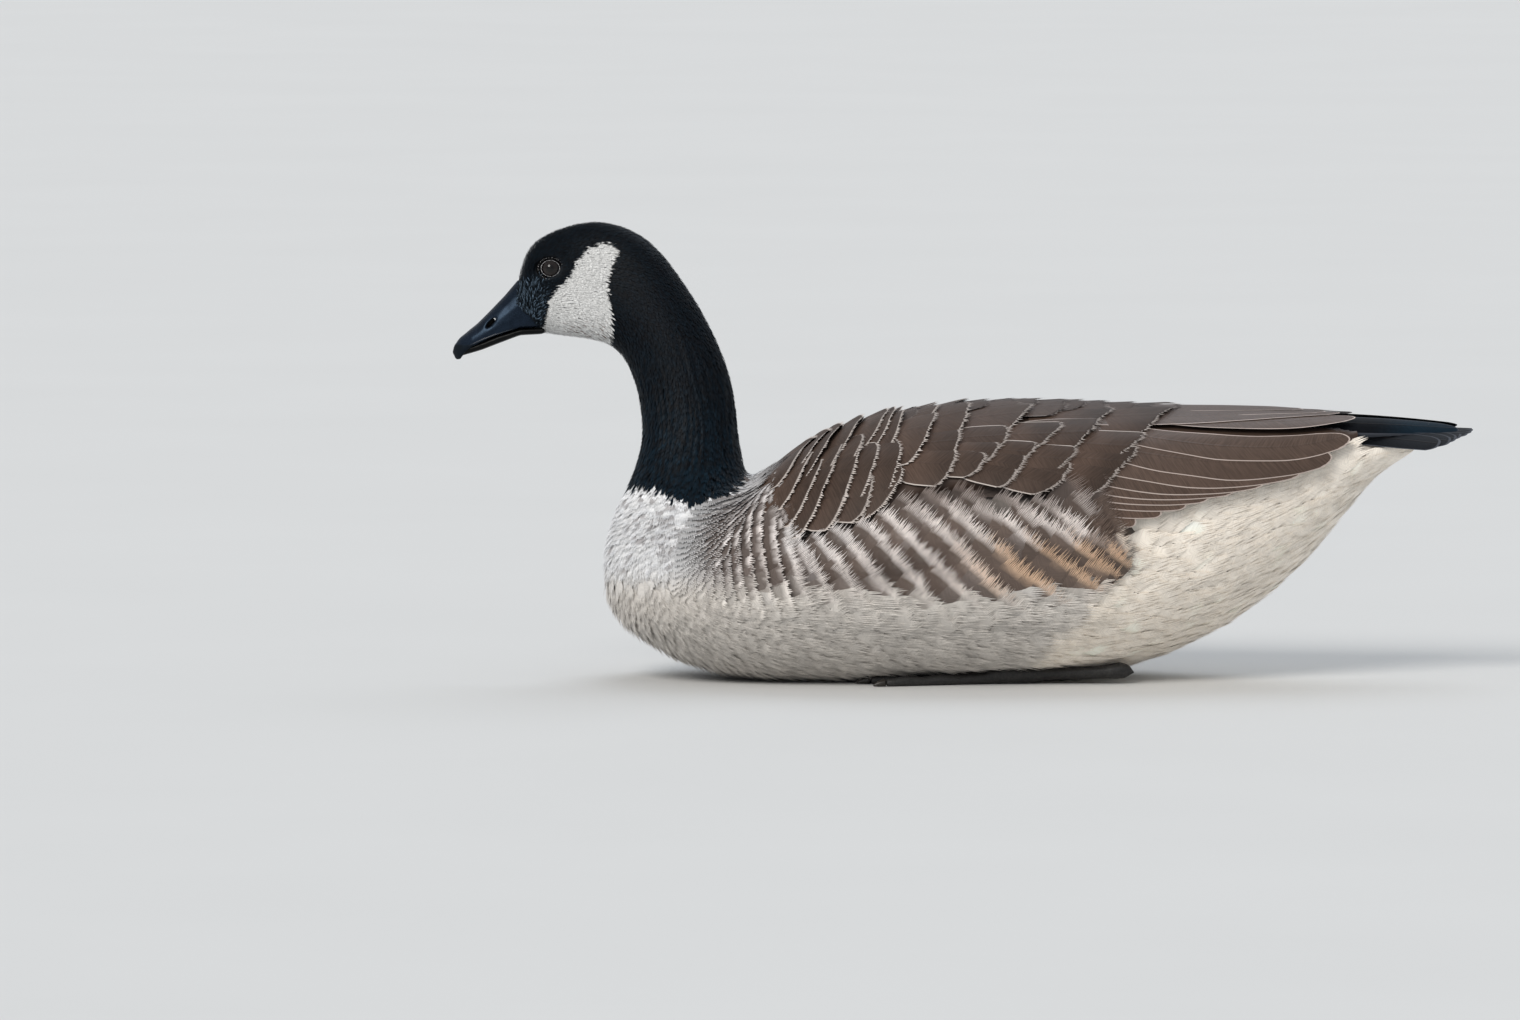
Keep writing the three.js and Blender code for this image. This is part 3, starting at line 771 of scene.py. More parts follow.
def rows_of(
    surface: SurfaceMap,
    u_range: tuple[float, float],
    step: Callable[[float], float],
    across: float,
    rng: Rng,
    jitter: float = 0.25,
    angles: tuple[float, float] = (-math.pi, math.pi),
) -> tuple[Array, Array]:
    """Places in staggered rows round the body, evenly spaced where the body's rows draw together.

    Args:
        surface: surface of the body.
        u_range: first and last place along.
        step: distance between rows at a place along.
        across: distance within a row, as a share of the distance between rows.
        rng: source of the jitter.
        jitter: how far a place may stray, as a share of the spacing.
        angles: first and last place round.

    Returns:
        Arrays of u and angle.
    """
    us, angle_lists = [], []
    u, row = u_range[0], 0
    dense = np.linspace(angles[0], angles[1], 400)
    while u < u_range[1]:
        spacing = step(u)
        stretch = np.linalg.norm(surface.sample(surface.along, np.full(400, u), dense), axis=1)
        girth = np.linalg.norm(surface.sample(surface.around, np.full(400, u), dense), axis=1)
        run = np.concatenate([[0], np.cumsum((girth[1:] + girth[:-1]) / 2 * np.diff(dense))])
        count = max(int(run[-1] / (spacing * across)), 1)
        shares = (np.arange(count) + 0.5 * (row % 2) + rng.uniform(-jitter, jitter, count)) / count
        angle = np.interp(shares * run[-1], run, dense)
        widest = stretch.max()
        local = np.interp(angle, dense, stretch) / widest
        level = np.clip(np.floor(np.log2(1 / np.maximum(local, 0.02)) + 0.35), 0, 5).astype(int)
        keep = (row % (2**level)) == 0
        gap = spacing / widest
        us.append(u + rng.uniform(-jitter, jitter, keep.sum()) * gap * 2 ** level[keep])
        angle_lists.append(angle[keep])
        u += gap
        row += 1
    return np.concatenate(us), np.concatenate(angle_lists)


class Markings:
    """Colours of the plumage over the body, by places of the side picture."""

    BLACK = np.array([0.0040, 0.0048, 0.0066])
    # blue-black of the neck and the primary tips: a painted sheen
    SHEEN_BLACK = np.array([0.0050, 0.0125, 0.0205])
    # bluish-grey of the strokes before the eye: a painted sheen on black feathers
    LORE = np.array([0.075, 0.110, 0.150])
    CHEEK = np.array([0.68, 0.68, 0.67])
    CHIN = np.array([0.17, 0.12, 0.10])
    BREAST = np.array([0.82, 0.83, 0.85])
    BREAST_BASE = np.array([0.73, 0.73, 0.73])
    # grey base of some breast feathers, seen between the pale tips: painted shade between the rows
    SPECK = np.array([0.40, 0.385, 0.385])
    BAR = np.array([0.115, 0.092, 0.082])
    SHOULDER = np.array([0.085, 0.068, 0.060])
    SHOULDER_TIP = np.array([0.70, 0.67, 0.66])
    FLANK = np.array([0.130, 0.097, 0.081])
    FLANK_TIP = np.array([0.77, 0.695, 0.655])
    RUFOUS = np.array([0.70, 0.46, 0.29])
    FLANK_END = np.array([0.070, 0.049, 0.039])
    BELLY = np.array([0.70, 0.66, 0.61])
    VENT = np.array([0.93, 0.855, 0.755])
    MANTLE = np.array([0.070, 0.054, 0.047])
    CHEEK_OUTLINE = (
        (543, 333), (546, 322), (551, 300), (561, 286), (571, 276), (578, 262), (588, 250), (603, 242),
        (613, 244), (620, 252), (613, 266), (609, 282), (611, 303), (614, 322), (614, 333), (612, 343),
        (618, 362), (560, 362),
    )
    NECK_EDGE = (
        (560, 488), (625, 492), (641, 491), (657, 493), (671, 501), (685, 506), (692, 509), (702, 506),
        (712, 503), (722, 499), (733, 493), (743, 485), (749, 478), (760, 462),
    )
    NECK_BACK = 752
    RIPPLES = (678, 536)
    LORES = (536, 304)

    def __init__(self, rng: Rng) -> None:
        """Keeps the source of small differences."""
        self.rng = rng

    @classmethod
    def below_neck(cls, seen: Array) -> Array:
        """How far places lie below the edge of the black neck, in pixels."""
        return seen[:, 1] - np.interp(seen[:, 0], *np.array(cls.NECK_EDGE).T)

    def black_share(self, seen: Array, ragged: float) -> Array:
        """How far a place belongs to the black head and neck, from 0 to 1."""
        above = ragged * self.rng.standard_normal(len(seen)) - self.below_neck(seen)
        above = np.where(seen[:, 0] > self.NECK_BACK, -10, above)
        return smoothstep(-0.5, 0.5, above)

    def cheek_share(self, seen: Array, ragged: float) -> Array:
        """How far a place belongs to the white cheek, from 0 to 1."""
        depth = inside(seen, self.CHEEK_OUTLINE) + ragged * self.rng.standard_normal(len(seen))
        return smoothstep(-0.6, 0.6, depth)

    def coat(self, surface: SurfaceMap, u: Array, angle: Array, ragged: float = 1.0) -> tuple[Array, Array]:
        """Colours of feathers by their roots.

        Args:
            surface: surface of the body.
            u: places along.
            angle: places round.
            ragged: how far the edges of markings stray, in pixels.

        Returns:
            Colours of the feathers' bases and of their tips.
        """
        seen = surface.sample(surface.seen, u, angle)
        rear = surface.point(u, angle)[:, 0]
        x, y = seen[:, 0], seen[:, 1]
        height = np.cos(angle)
        toward_flank = smoothstep(670, 790, x + 0.25 * (y - 520) + 0.9 * np.minimum(y - 515, 0))
        ripple = np.exp(-(((x - self.RIPPLES[0]) / 30) ** 2 + ((y - self.RIPPLES[1]) / 26) ** 2))
        # painted shade between the rows, most of it near the ripples
        gap_shade = self.rng.random(len(u)) < 0.06 + 0.60 * ripple
        shoulder = smoothstep(-0.15, 0.35, height) * smoothstep(755, 800, x) * smoothstep(950, 800, x)
        rufous = smoothstep(950, 1040, x) * smoothstep(522, 542, y) * smoothstep(600, 570, y)
        below = smoothstep(566, 606, y)
        last = smoothstep(1092, 1106, x) * smoothstep(545, 524, y) * smoothstep(462, 475, y)
        vent = smoothstep(1128, 1146, x + 0.9 * np.maximum(y - 560, 0))
        vent = vent * smoothstep(0.83, 1.02, np.abs(angle))
        top = smoothstep(0.25, 0.45, height) * smoothstep(760, 800, x)
        rump = smoothstep(0.45, 0.60, height) * smoothstep(0.10, 0.14, rear)
        upper = smoothstep(0.40, 0.50, height) * smoothstep(0.225, 0.235, rear)
        black = self.black_share(seen, ragged * 2.0)
        # random share of painted sheen, more of it low on the neck
        glossy = self.rng.random(len(u)) * (0.6 + 0.9 * smoothstep(370, 470, y))
        sheen = blend(self.BLACK, self.SHEEN_BLACK, glossy)
        # lore strokes: tips in the colour of the painted sheen
        away = np.hypot(x - self.LORES[0], (y - self.LORES[1]) * 0.9)
        lore_sheen = smoothstep(34, 12, away) * self.rng.random(len(u)) ** 5
        cheek = self.cheek_share(seen, ragged)
        dirt = smoothstep(316, 334, y) * smoothstep(552, 575, x) * (self.rng.random(len(u)) < 0.12)
        white = blend(self.CHEEK, self.CHIN, dirt)
        base, tip = np.tile(self.BREAST_BASE, (len(u), 1)), np.tile(self.BREAST, (len(u), 1))
        for share, low, high in (
            (toward_flank, self.FLANK, self.FLANK_TIP),
            (gap_shade, self.SPECK, None),
            (shoulder, self.SHOULDER, self.SHOULDER_TIP),
            (0.88 * rufous, None, self.RUFOUS),
            (below, self.BELLY * 0.80, self.BELLY * 1.08),
            (last, self.FLANK_END, self.FLANK_END * 1.9),
            (vent, self.VENT, self.VENT),
            (top, self.MANTLE, self.MANTLE * 2.2),
            (rump, self.BLACK, self.BLACK * 1.4),
            (upper, self.VENT, self.VENT),
            (black, sheen * 0.8, blend(sheen, self.LORE, lore_sheen)),
            (cheek, white, white),
        ):
            base = base if low is None else blend(base, low, share)
            tip = tip if high is None else blend(tip, high, share)
        return base, tip


FLOAT, VECTOR = "NodeSocketFloat", "NodeSocketVector"


class NodeKit:
    """Short ways to make nodes and links in one tree."""

    def __init__(self, tree: bpy.types.NodeTree) -> None:
        """Keeps the tree."""
        self.tree = tree

    def fill(self, node: bpy.types.Node, inputs: dict[str | int, object]) -> None:
        """Gives a node's inputs their values or links."""
        for key, value in inputs.items():
            if isinstance(value, Socket):
                self.tree.links.new(value, node.inputs[key])
            else:
                node.inputs[key].default_value = value

    def put(self, kind: str, inputs: dict | None = None, **settings: object) -> bpy.types.Node:
        """Makes a node.

        Args:
            kind: type of the node.
            inputs: values or sockets of its inputs, by name or index.
            settings: properties of the node.

        Returns:
            The node.
        """
        node = self.tree.nodes.new(kind)
        for name, value in settings.items():
            setattr(node, name, value)
        self.fill(node, inputs or {})
        return node

    def math(self, operation: str, *values: object) -> Socket:
        """The result of a Math node."""
        return self.put("ShaderNodeMath", dict(enumerate(values)), operation=operation).outputs[0]

    def ramp(self, value: object, low: float, high: float, start: float = 0.0, end: float = 1.0) -> Socket:
        """A value stepped softly from start to end between low and high."""
        given = {0: value, 1: low, 2: high, 3: start, 4: end}
        return self.put("ShaderNodeMapRange", given, interpolation_type="SMOOTHSTEP").outputs[0]

    def mix(self, share: object, low: object, high: object) -> Socket:
        """A mix of two colours."""
        return self.put("ShaderNodeMix", {0: share, 6: low, 7: high}, data_type="RGBA").outputs[2]

    def shaded(self, colour: object, light: Socket) -> Socket:
        """A colour times a brightness."""
        grey = self.put("ShaderNodeCombineXYZ", {0: light, 1: light, 2: light}).outputs[0]
        given = {0: 1.0, 6: colour, 7: grey}
        return self.put("ShaderNodeMix", given, data_type="RGBA", blend_type="MULTIPLY").outputs[2]

    def noise(self, vector: object, scale: float, detail: float = 2.0, rough: float = 0.5) -> Socket:
        """A noise texture's value."""
        given = {"Vector": vector, "Scale": scale, "Detail": detail, "Roughness": rough}
        return self.put("ShaderNodeTexNoise", given).outputs["Fac"]

    def bump(self, height: object, strength: float, distance: float) -> Socket:
        """The normal of a Bump node."""
        given = {"Height": height, "Strength": strength, "Distance": distance}
        return self.put("ShaderNodeBump", given).outputs["Normal"]

    def objects(self) -> Socket:
        """Object coordinates."""
        return self.put("ShaderNodeTexCoord").outputs["Object"]

    def parts(self, vector: Socket) -> Sequence[Socket]:
        """The three parts of a vector."""
        return self.put("ShaderNodeSeparateXYZ", {0: vector}).outputs


class MaterialKit(NodeKit):
    """A new material and ways to fill it."""

    def __init__(self, name: str) -> None:
        """Makes the material."""
        self.material = bpy.data.materials.new(name)
        self.material.use_nodes = True
        super().__init__(self.material.node_tree)
        self.shader = next(node for node in self.tree.nodes if node.type == "BSDF_PRINCIPLED")

    def finish(self, inputs: dict[str, object]) -> Material:
        """Sets the shader's sockets and gives the material back."""
        self.fill(self.shader, inputs)
        return self.material


class GroupKit(NodeKit):
    """A new shader node group and ways to fill it."""

    def __init__(self, name: str, inputs: dict[str, str], outputs: Sequence[str]) -> None:
        """Makes the group.

        Args:
            name: its name.
            inputs: socket types by name.
            outputs: names of the values that it gives out.
        """
        super().__init__(bpy.data.node_groups.new(name, "ShaderNodeTree"))
        for socket, kind in inputs.items():
            self.tree.interface.new_socket(socket, in_out="INPUT", socket_type=kind)
        for socket in outputs:
            self.tree.interface.new_socket(socket, in_out="OUTPUT", socket_type=FLOAT)
        self.given = self.tree.nodes.new("NodeGroupInput").outputs
        self.leave = self.tree.nodes.new("NodeGroupOutput")

    def finish(self, outputs: dict[str, Socket]) -> bpy.types.NodeTree:
        """Links what the group gives out, and gives it back."""
        self.fill(self.leave, outputs)
        return self.tree


class Finishes:
    """Node groups that all kinds of plumage share."""

    def __init__(self) -> None:
        """Builds the groups."""
        self.barbs = self.make_barbs()
        self.fringe = self.make_fringe()
        self.mottle = self.make_mottle()

    @staticmethod
    def make_barbs() -> bpy.types.NodeTree:
        """Wide and fine streaks along the barbs of a feather.

        Returns:
            The group, which gives out Streak and Fine.
        """
        kit = GroupKit("feather barbs", {"Barb": VECTOR}, ("Streak", "Fine"))
        streaks = {}
        for name, scale, detail in (("Streak", (0.9, 9.0, 1.0), 3.0), ("Fine", (1.2, 26.0, 1.0), 2.0)):
            stretched = kit.put("ShaderNodeMapping", {"Vector": kit.given["Barb"], "Scale": scale}).outputs[0]
            streaks[name] = kit.noise(stretched, 1.0, detail, 0.6)
        return kit.finish(streaks)

    @staticmethod
    def make_fringe() -> bpy.types.NodeTree:
        """A frayed pale edge along a feather's outline."""
        kit = GroupKit("feather fringe", dict.fromkeys(("Edge", "Width", "Fray", "Fine"), FLOAT), ("Mask",))
        stray = kit.math("MULTIPLY", kit.math("SUBTRACT", kit.given["Fine"], 0.5), kit.given["Fray"])
        share = kit.math("DIVIDE", kit.math("ADD", kit.given["Edge"], stray), kit.given["Width"])
        return kit.finish({"Mask": kit.ramp(share, 0.75, 1.25, 1.0, 0.0)})

    @staticmethod
    def make_mottle() -> bpy.types.NodeTree:
        """Soft patches of lighter and darker plumage."""
        kit = GroupKit("plumage mottle", {"Amount": FLOAT}, ("Factor",))
        noise = kit.noise(kit.objects(), 70.0, 3.0)
        shifted = kit.math("MULTIPLY", kit.math("SUBTRACT", noise, 0.5), kit.given["Amount"])
        return kit.finish({"Factor": kit.math("ADD", shifted, 1.0)})


@dataclass(frozen=True)
class Plumage:
    """Finish of a kind of plumage, whose colours come from the feathers themselves."""

    name: str
    roughness: float = 0.5
    sheen: float = 0.02
    sheen_tint: Colour = (0.8, 0.85, 1.0)
    specular: float = 0.2
    streaks: float = 0.2
    bump: float = 0.25
    fringe: Colour = (0.5, 0.46, 0.42)
    fringe_width: float = 0.0
    fringe_fray: float = 1.6
    shaft: float = 0.0
    mottle: float = 0.14

    def material(self, finishes: Finishes) -> Material:
        """Makes the material from the shared groups.

        Args:
            finishes: the shared groups.

        Returns:
            The material.
        """
        kit = MaterialKit(self.name)
        given = {"Barb": kit.put("ShaderNodeUVMap", uv_map="Barb").outputs[0]}
        barbs = kit.put("ShaderNodeGroup", given, node_tree=finishes.barbs).outputs
        tint = kit.put("ShaderNodeAttribute", attribute_name="tint").outputs["Color"]
        vane = kit.parts(kit.put("ShaderNodeAttribute", attribute_name="vane").outputs["Vector"])
        mottle = kit.put("ShaderNodeGroup", {"Amount": self.mottle}, node_tree=finishes.mottle).outputs[0]
        streak = kit.ramp(barbs["Streak"], 0.3, 0.7, 1.0 - self.streaks, 1.0 + self.streaks)
        colour = kit.shaded(tint, kit.math("MULTIPLY", streak, mottle))
        height = barbs["Fine"]
        if self.shaft > 0:
            off = kit.math("ABSOLUTE", vane[0])
            colour = kit.mix(kit.ramp(off, 0.015, 0.055, self.shaft, 0.0), colour, (0.03, 0.022, 0.018, 1))
            height = kit.math("ADD", height, kit.ramp(off, 0.02, 0.09, 1.2, 0.0))
        if self.fringe_width > 0:
            given = {
                "Edge": vane[2], "Width": self.fringe_width, "Fray": self.fringe_fray, "Fine": barbs["Fine"],
            }
            mask = kit.put("ShaderNodeGroup", given, node_tree=finishes.fringe).outputs["Mask"]
            colour = kit.mix(mask, colour, (*self.fringe, 1))
        return kit.finish({
            "Base Color": colour,
            "Normal": kit.bump(height, self.bump, 0.0004),
            "Roughness": self.roughness,
            "Specular IOR Level": self.specular,
            "Sheen Weight": self.sheen,
            "Sheen Tint": (*self.sheen_tint, 1),
            "Sheen Roughness": 0.4,
        })


@dataclass(frozen=True)
class Horn:
    """Finish of a hard or leathery part: bill, lids, feet or claws."""

    name: str
    colour: Colour
    roughness: float
    scales: float = 0.0
    scale_size: float = 0.002
    bump: float = 0.3
    specular: float = 0.4
    specular_tint: Colour = (1.0, 1.0, 1.0)
    dark_below: float = -1.0

    def material(self) -> Material:
        """Makes the material.

        Returns:
            The material.
        """
        kit = MaterialKit(self.name)
        place = kit.objects()
        cloud = kit.noise(place, 160.0, 4.0)
        fine = kit.noise(place, 900.0, 3.0, 0.6)
        colour = kit.shaded((*self.colour, 1), kit.ramp(cloud, 0.3, 0.7, 0.75, 1.3))
        height = kit.math("MULTIPLY", fine, 0.35)
        if self.scales > 0:
            given = {"Vector": place, "Scale": 1.0 / self.scale_size}
            cells = kit.put("ShaderNodeTexVoronoi", given, feature="DISTANCE_TO_EDGE").outputs["Distance"]
            plate = kit.ramp(cells, 0.0, 0.18)
            height = kit.math("ADD", height, kit.math("MULTIPLY", plate, self.scales))
            groove = kit.math("MULTIPLY", kit.math("SUBTRACT", 1.0, plate), 0.5)
            colour = kit.mix(groove, colour, (0.004, 0.004, 0.005, 1))
        rough = kit.ramp(fine, 0.3, 0.7, self.roughness * 0.85, self.roughness * 1.2)
        # below dark_below the horn turns near black and rougher; above it the bill keeps its bluish colour, a
        # painted reflection
        if self.dark_below > 0:
            upper = kit.ramp(kit.parts(place)[2], self.dark_below - 0.0005, self.dark_below + 0.0007)
            colour = kit.mix(upper, (0.0026, 0.0028, 0.0030, 1), colour)
            rough = kit.math("ADD", rough, kit.math("MULTIPLY", kit.math("SUBTRACT", 1.0, upper), 0.25))
        return kit.finish({
            "Base Color": colour,
            "Normal": kit.bump(height, self.bump, 0.0006),
            "Roughness": rough,
            "Specular IOR Level": self.specular,
            "Specular Tint": (*self.specular_tint, 1),
        })


@dataclass
class Skin:
    """The one skin of the flesh under the coat."""

    flesh: tuple[str, ...] = (
        "head", "neck_upper", "neck_middle", "neck_lower", "breast", "trunk", "rump",
        "leg_left_thigh", "leg_right_thigh",
    )
    voxel: float = 0.0026
    grow: float = 0.00035
    smoothing: int = 5
    head_depth: float = 0.0016
    body_depth: float = 0.0055
    floor_gap: float = 0.0015
    shade: float = 0.8

    def outer(self, *more: str) -> Mesh:
        """One closed surface round the solids of flesh, the eyes in their sockets and more nodes."""
        mesh = joined((*self.flesh, "eye_left", "eye_right", *more), self.grow)
        return remeshed(mesh, self.voxel, self.smoothing)

    def build(self, outer: Mesh, surface: SurfaceMap, markings: Markings, material: Material) -> None:
        """Makes the skin inside the coat.

        Args:
            outer: the closed outer surface.
            surface: map of that surface.
            markings: colours of the plumage.
            material: its material.
        """
        spokes = surface.points.shape[1]
        tree = KDTree(surface.points.shape[0] * spokes)
        for index, point in enumerate(surface.points.reshape(-1, 3)):
            tree.insert(point, index)
        tree.balance()
        mesh = outer.copy()
        points, normals = points_of(mesh), points_of(mesh, "normal")
        near = np.array([tree.find(point)[1] for point in points])
        u, angle = (near // spokes) * surface.step, (near % spokes) * surface.turn - math.pi
        body = smoothstep(surface.ribs["low neck"], surface.ribs["fore breast"], u)
        depth = self.head_depth + (self.body_depth - self.head_depth) * body
        points = points - normals * depth[:, None]
        points[:, 2] = np.maximum(points[:, 2], self.floor_gap)
        move_points(mesh, points)
        base, tip = markings.coat(surface, u, angle, 0.5)
        dress(mesh, (base + tip) / 2 * self.shade, PLAIN_VANE)
        hand_over("skin", mesh, material, self.flesh)


def joined(names: Sequence[str], grow: float) -> Mesh:
    """Copies of nodes in one mesh, each grown a little so that they run into each other.

    Args:
        names: the nodes.
        grow: how far each surface moves out.

    Returns:
        The mesh.
    """
    bm = bmesh.new()
    for name in names:
        bm.from_mesh(frame["nodes"][name].data)
    bmesh.ops.remove_doubles(bm, verts=bm.verts[:], dist=1e-5)
    bm.normal_update()
    for vert in bm.verts:
        vert.co += vert.normal * grow
    return mesh_from(bm, "joined")


def remeshed(mesh: Mesh, voxel: float, smoothing: int) -> Mesh:
    """A mesh with even faces and its facets eased out.

    Args:
        mesh: a closed mesh, which is used up.
        voxel: size of the new faces.
        smoothing: rounds of smoothing.

    Returns:
        The new mesh.
    """
    carrier = bpy.data.objects.new("carrier", mesh)
    bpy.context.scene.collection.objects.link(carrier)
    modifier = carrier.modifiers.new("even", "REMESH")
    modifier.mode = "VOXEL"
    modifier.voxel_size = voxel
    graph = bpy.context.evaluated_depsgraph_get()
    made = bpy.data.meshes.new_from_object(carrier.evaluated_get(graph))
    bpy.data.objects.remove(carrier)
    bm = bmesh.new()
    bm.from_mesh(made)
    axes = dict.fromkeys(("use_axis_x", "use_axis_y", "use_axis_z"), True)
    for _ in range(smoothing):
        bmesh.ops.smooth_vert(bm, verts=bm.verts[:], factor=0.5, **axes)
    bm.to_mesh(made)
    bm.free()
    made.update()
    return made


def tree_of(mesh: Mesh) -> BVHTree:
    """A tree for casting rays at a mesh."""
    bm = bmesh.new()
    bm.from_mesh(mesh)
    tree = BVHTree.FromBMesh(bm)
    bm.free()
    return tree


@dataclass(frozen=True)
class TipLine:
    """A row of feathers, by the pixels of the ends of the line that their tips make.

    Dip is how far the feathers point down from the body's length, in degrees.
    """

    top: Pixel
    foot: Pixel
    count: int
    length: float
    width: float
    dip: float
    bow: float = 0.0

    def plan(self, surface: SurfaceMap, rng: Rng, sign: float, stray: float) -> tuple[Plan, Array]:
        """Places the row's feathers by their tips.

        Args:
            surface: surface that they lie on.
            rng: source of small differences.
            sign: 1 for the left side and -1 for the right one.
            stray: how far tips may stray, in pixels.

        Returns:
            The plan, with no colours and heights yet, and u and angle of each tip.
        """
        shares = (np.arange(self.count) + 0.5) / self.count
        top, foot = np.array(self.top), np.array(self.foot)
        spots = top + (foot - top) * shares[:, None]
        spots[:, 0] += self.bow * np.sin(shares * math.pi)
        spots += stray * rng.uniform(-1, 1, spots.shape)
        u, angle = surface.locate(spots)
        dip = math.radians(self.dip) + 0.07 * rng.standard_normal(self.count)
        du, da = surface.steps(u, angle, surface.axes(u, angle, dip)[0])
        length = self.length * rng.uniform(0.93, 1.07, self.count)
        width = self.width * rng.uniform(0.93, 1.07, self.count)
        plan = Plan(u - du * length, (angle - da * length) * sign, dip, length, width)
        return plan, np.stack([u, angle * sign], axis=1)


@dataclass
class BodyCoat:
    """Small feathers of head, neck, breast, belly, flanks, back and rump."""

    surface: SurfaceMap
    wing_cover: Array
    markings: Markings
    rng: Rng
    lid: float = 0.0082
    feather_edge: tuple[Pixel, ...] = (
        (268, 521), (277, 519.5), (290, 515.5), (303, 513.5), (311, 521), (318, 530), (325, 535),
        (331, 540.5), (340, 542),
    )
    velvet: Vane = Vane(strips=2, rows=3, split=0.55, root=0.5, drop=0.25, fray=0.3, variants=6)
    contour: Vane = Vane(
        strips=13, rows=4, split=0.50, root=0.45, drop=0.26, fray=0.34, thin=0.8, variants=8
    )
    plume: Vane = Vane(
        strips=10, split=0.50, root=0.5, widest=0.4, drop=0.45, blunt=1.8, fray=0.22, spread=0.02,
        narrow=0.3, thin=0.4, variants=8,
    )
    flank: Vane = Vane(
        strips=19, rows=8, split=0.60, root=0.45, widest=0.6, drop=0.09, blunt=2.6, fray=0.24,
        thin=0.90, variants=12,
    )
    bar: Vane = Vane(
        strips=8, rows=6, split=0.80, root=0.5, widest=0.5, drop=0.08, blunt=2.6, fray=0.12, spread=0.06,
        thin=0.7, variants=12,
    )
    stroke: Vane = Vane(strips=1, rows=3, split=0.6, root=0.6, drop=0.2, fray=0.0, narrow=0.8, variants=1)
    breast_lines: tuple[TipLine, ...] = tuple(TipLine(*row) for row in (
        ((704, 508), (682, 600), 16, 0.019, 0.0095, 14, -5),
        ((714, 506), (690, 606), 17, 0.019, 0.0095, 13, -6),
        ((722, 503), (699, 611), 18, 0.020, 0.010, 12, -8),
        ((730, 500), (709, 614), 18, 0.020, 0.010, 11, -10),
        ((737, 496), (720, 616), 18, 0.021, 0.011, 10, -11),
        ((743, 492), (732, 617), 18, 0.021, 0.011, 8, -12),
        ((749, 488), (745, 617), 18, 0.022, 0.012, 6, -13),
        ((756, 484), (758, 617), 18, 0.022, 0.012, 3, -14),
        ((763, 480), (772, 616), 18, 0.023, 0.013, 0, -14),
        ((771, 477), (787, 614), 17, 0.024, 0.013, -4, -13),
        ((781, 481), (803, 611), 15, 0.026, 0.014, -9, -10),
    ))
    swirl_lines: tuple[TipLine, ...] = tuple(TipLine(*row) for row in (
        ((775, 466), (787, 524), 10, 0.019, 0.009, 2, -8),
        ((784, 464), (797, 526), 10, 0.019, 0.009, -2, -10),
    ))
    flank_lines: tuple[TipLine, ...] = tuple(TipLine(*row) for row in (
        ((794, 500), (826, 606), 11, 0.029, 0.015, -15, -6),
        ((810, 529), (856, 610), 9, 0.030, 0.017, -26), ((832, 528), (890, 613), 10, 0.032, 0.018, -32),
        ((856, 522), (927, 615), 12, 0.033, 0.019, -36), ((880, 514), (964, 613), 13, 0.034, 0.020, -40),
        ((900, 503), (1002, 607), 14, 0.035, 0.021, -44),
        ((922, 491), (1037, 599), 15, 0.036, 0.021, -47),
        ((947, 483), (1071, 588), 15, 0.036, 0.021, -50),
        ((978, 479), (1100, 574), 14, 0.036, 0.021, -53),
        ((1016, 484), (1122, 560), 12, 0.036, 0.021, -55),
        ((1052, 488), (1132, 550), 9, 0.035, 0.021, -50),
        ((1084, 476), (1130, 545), 8, 0.034, 0.021, -38),
        ((1110, 480), (1138, 540), 7, 0.030, 0.018, -20),
    ))

    def velvet_size(self, u: Array) -> tuple[Array, Array, Array]:
        """Spacing, length and width of the velvet at places along, in metres.

        Args:
            u: places along.

        Returns:
            Arrays of the three measures.
        """
        ribs = self.surface.ribs
        names = ("bill", "brow", "hind crown", "nape", "mid neck", "fore breast")
        places = [ribs[name] for name in names]
        step = np.interp(u, places, (0.0010, 0.0011, 0.0014, 0.0018, 0.0023, 0.0028))
        length = np.interp(u, places, (0.0026, 0.0036, 0.0062, 0.0074, 0.0088, 0.0100))
        width = np.interp(u, places, (0.0008, 0.0009, 0.0011, 0.0015, 0.0020, 0.0026))
        return step, length, width

    def plan(
        self, u: Array, angle: Array, lean: Array, length: Array, width: Array, rise: Array, sunk: float
    ) -> Plan:
        """A tract with the body's own colours.

        Args:
            u: places along.
            angle: places round.
            lean: turn of the feathers towards the belly.
            length: their lengths.
            width: their widths.
            rise: height of the tips over the surface.
            sunk: depth of the roots under it.

        Returns:
            The plan.
        """
        count = len(u)
        du, da = self.surface.steps(u, angle, self.surface.axes(u, angle, lean)[0])
        base, tip = self.markings.coat(self.surface, u + 0.7 * length * du, angle + 0.7 * length * da)
        base, tip = vary(base, self.rng, 0.06), vary(tip, self.rng, 0.04)
        lift = rise * self.rng.uniform(0.4, 1.5, count)
        return Plan(
            u=u, angle=angle, lean=lean + 0.07 * self.rng.standard_normal(count),
            length=length * self.rng.uniform(0.88, 1.12, count),
            width=width * self.rng.uniform(0.9, 1.1, count),
            base=base, tip=tip, root_height=-sunk, tip_height=lift,
            tip_from=0.5 + 0.04 * self.rng.standard_normal(count),
        )

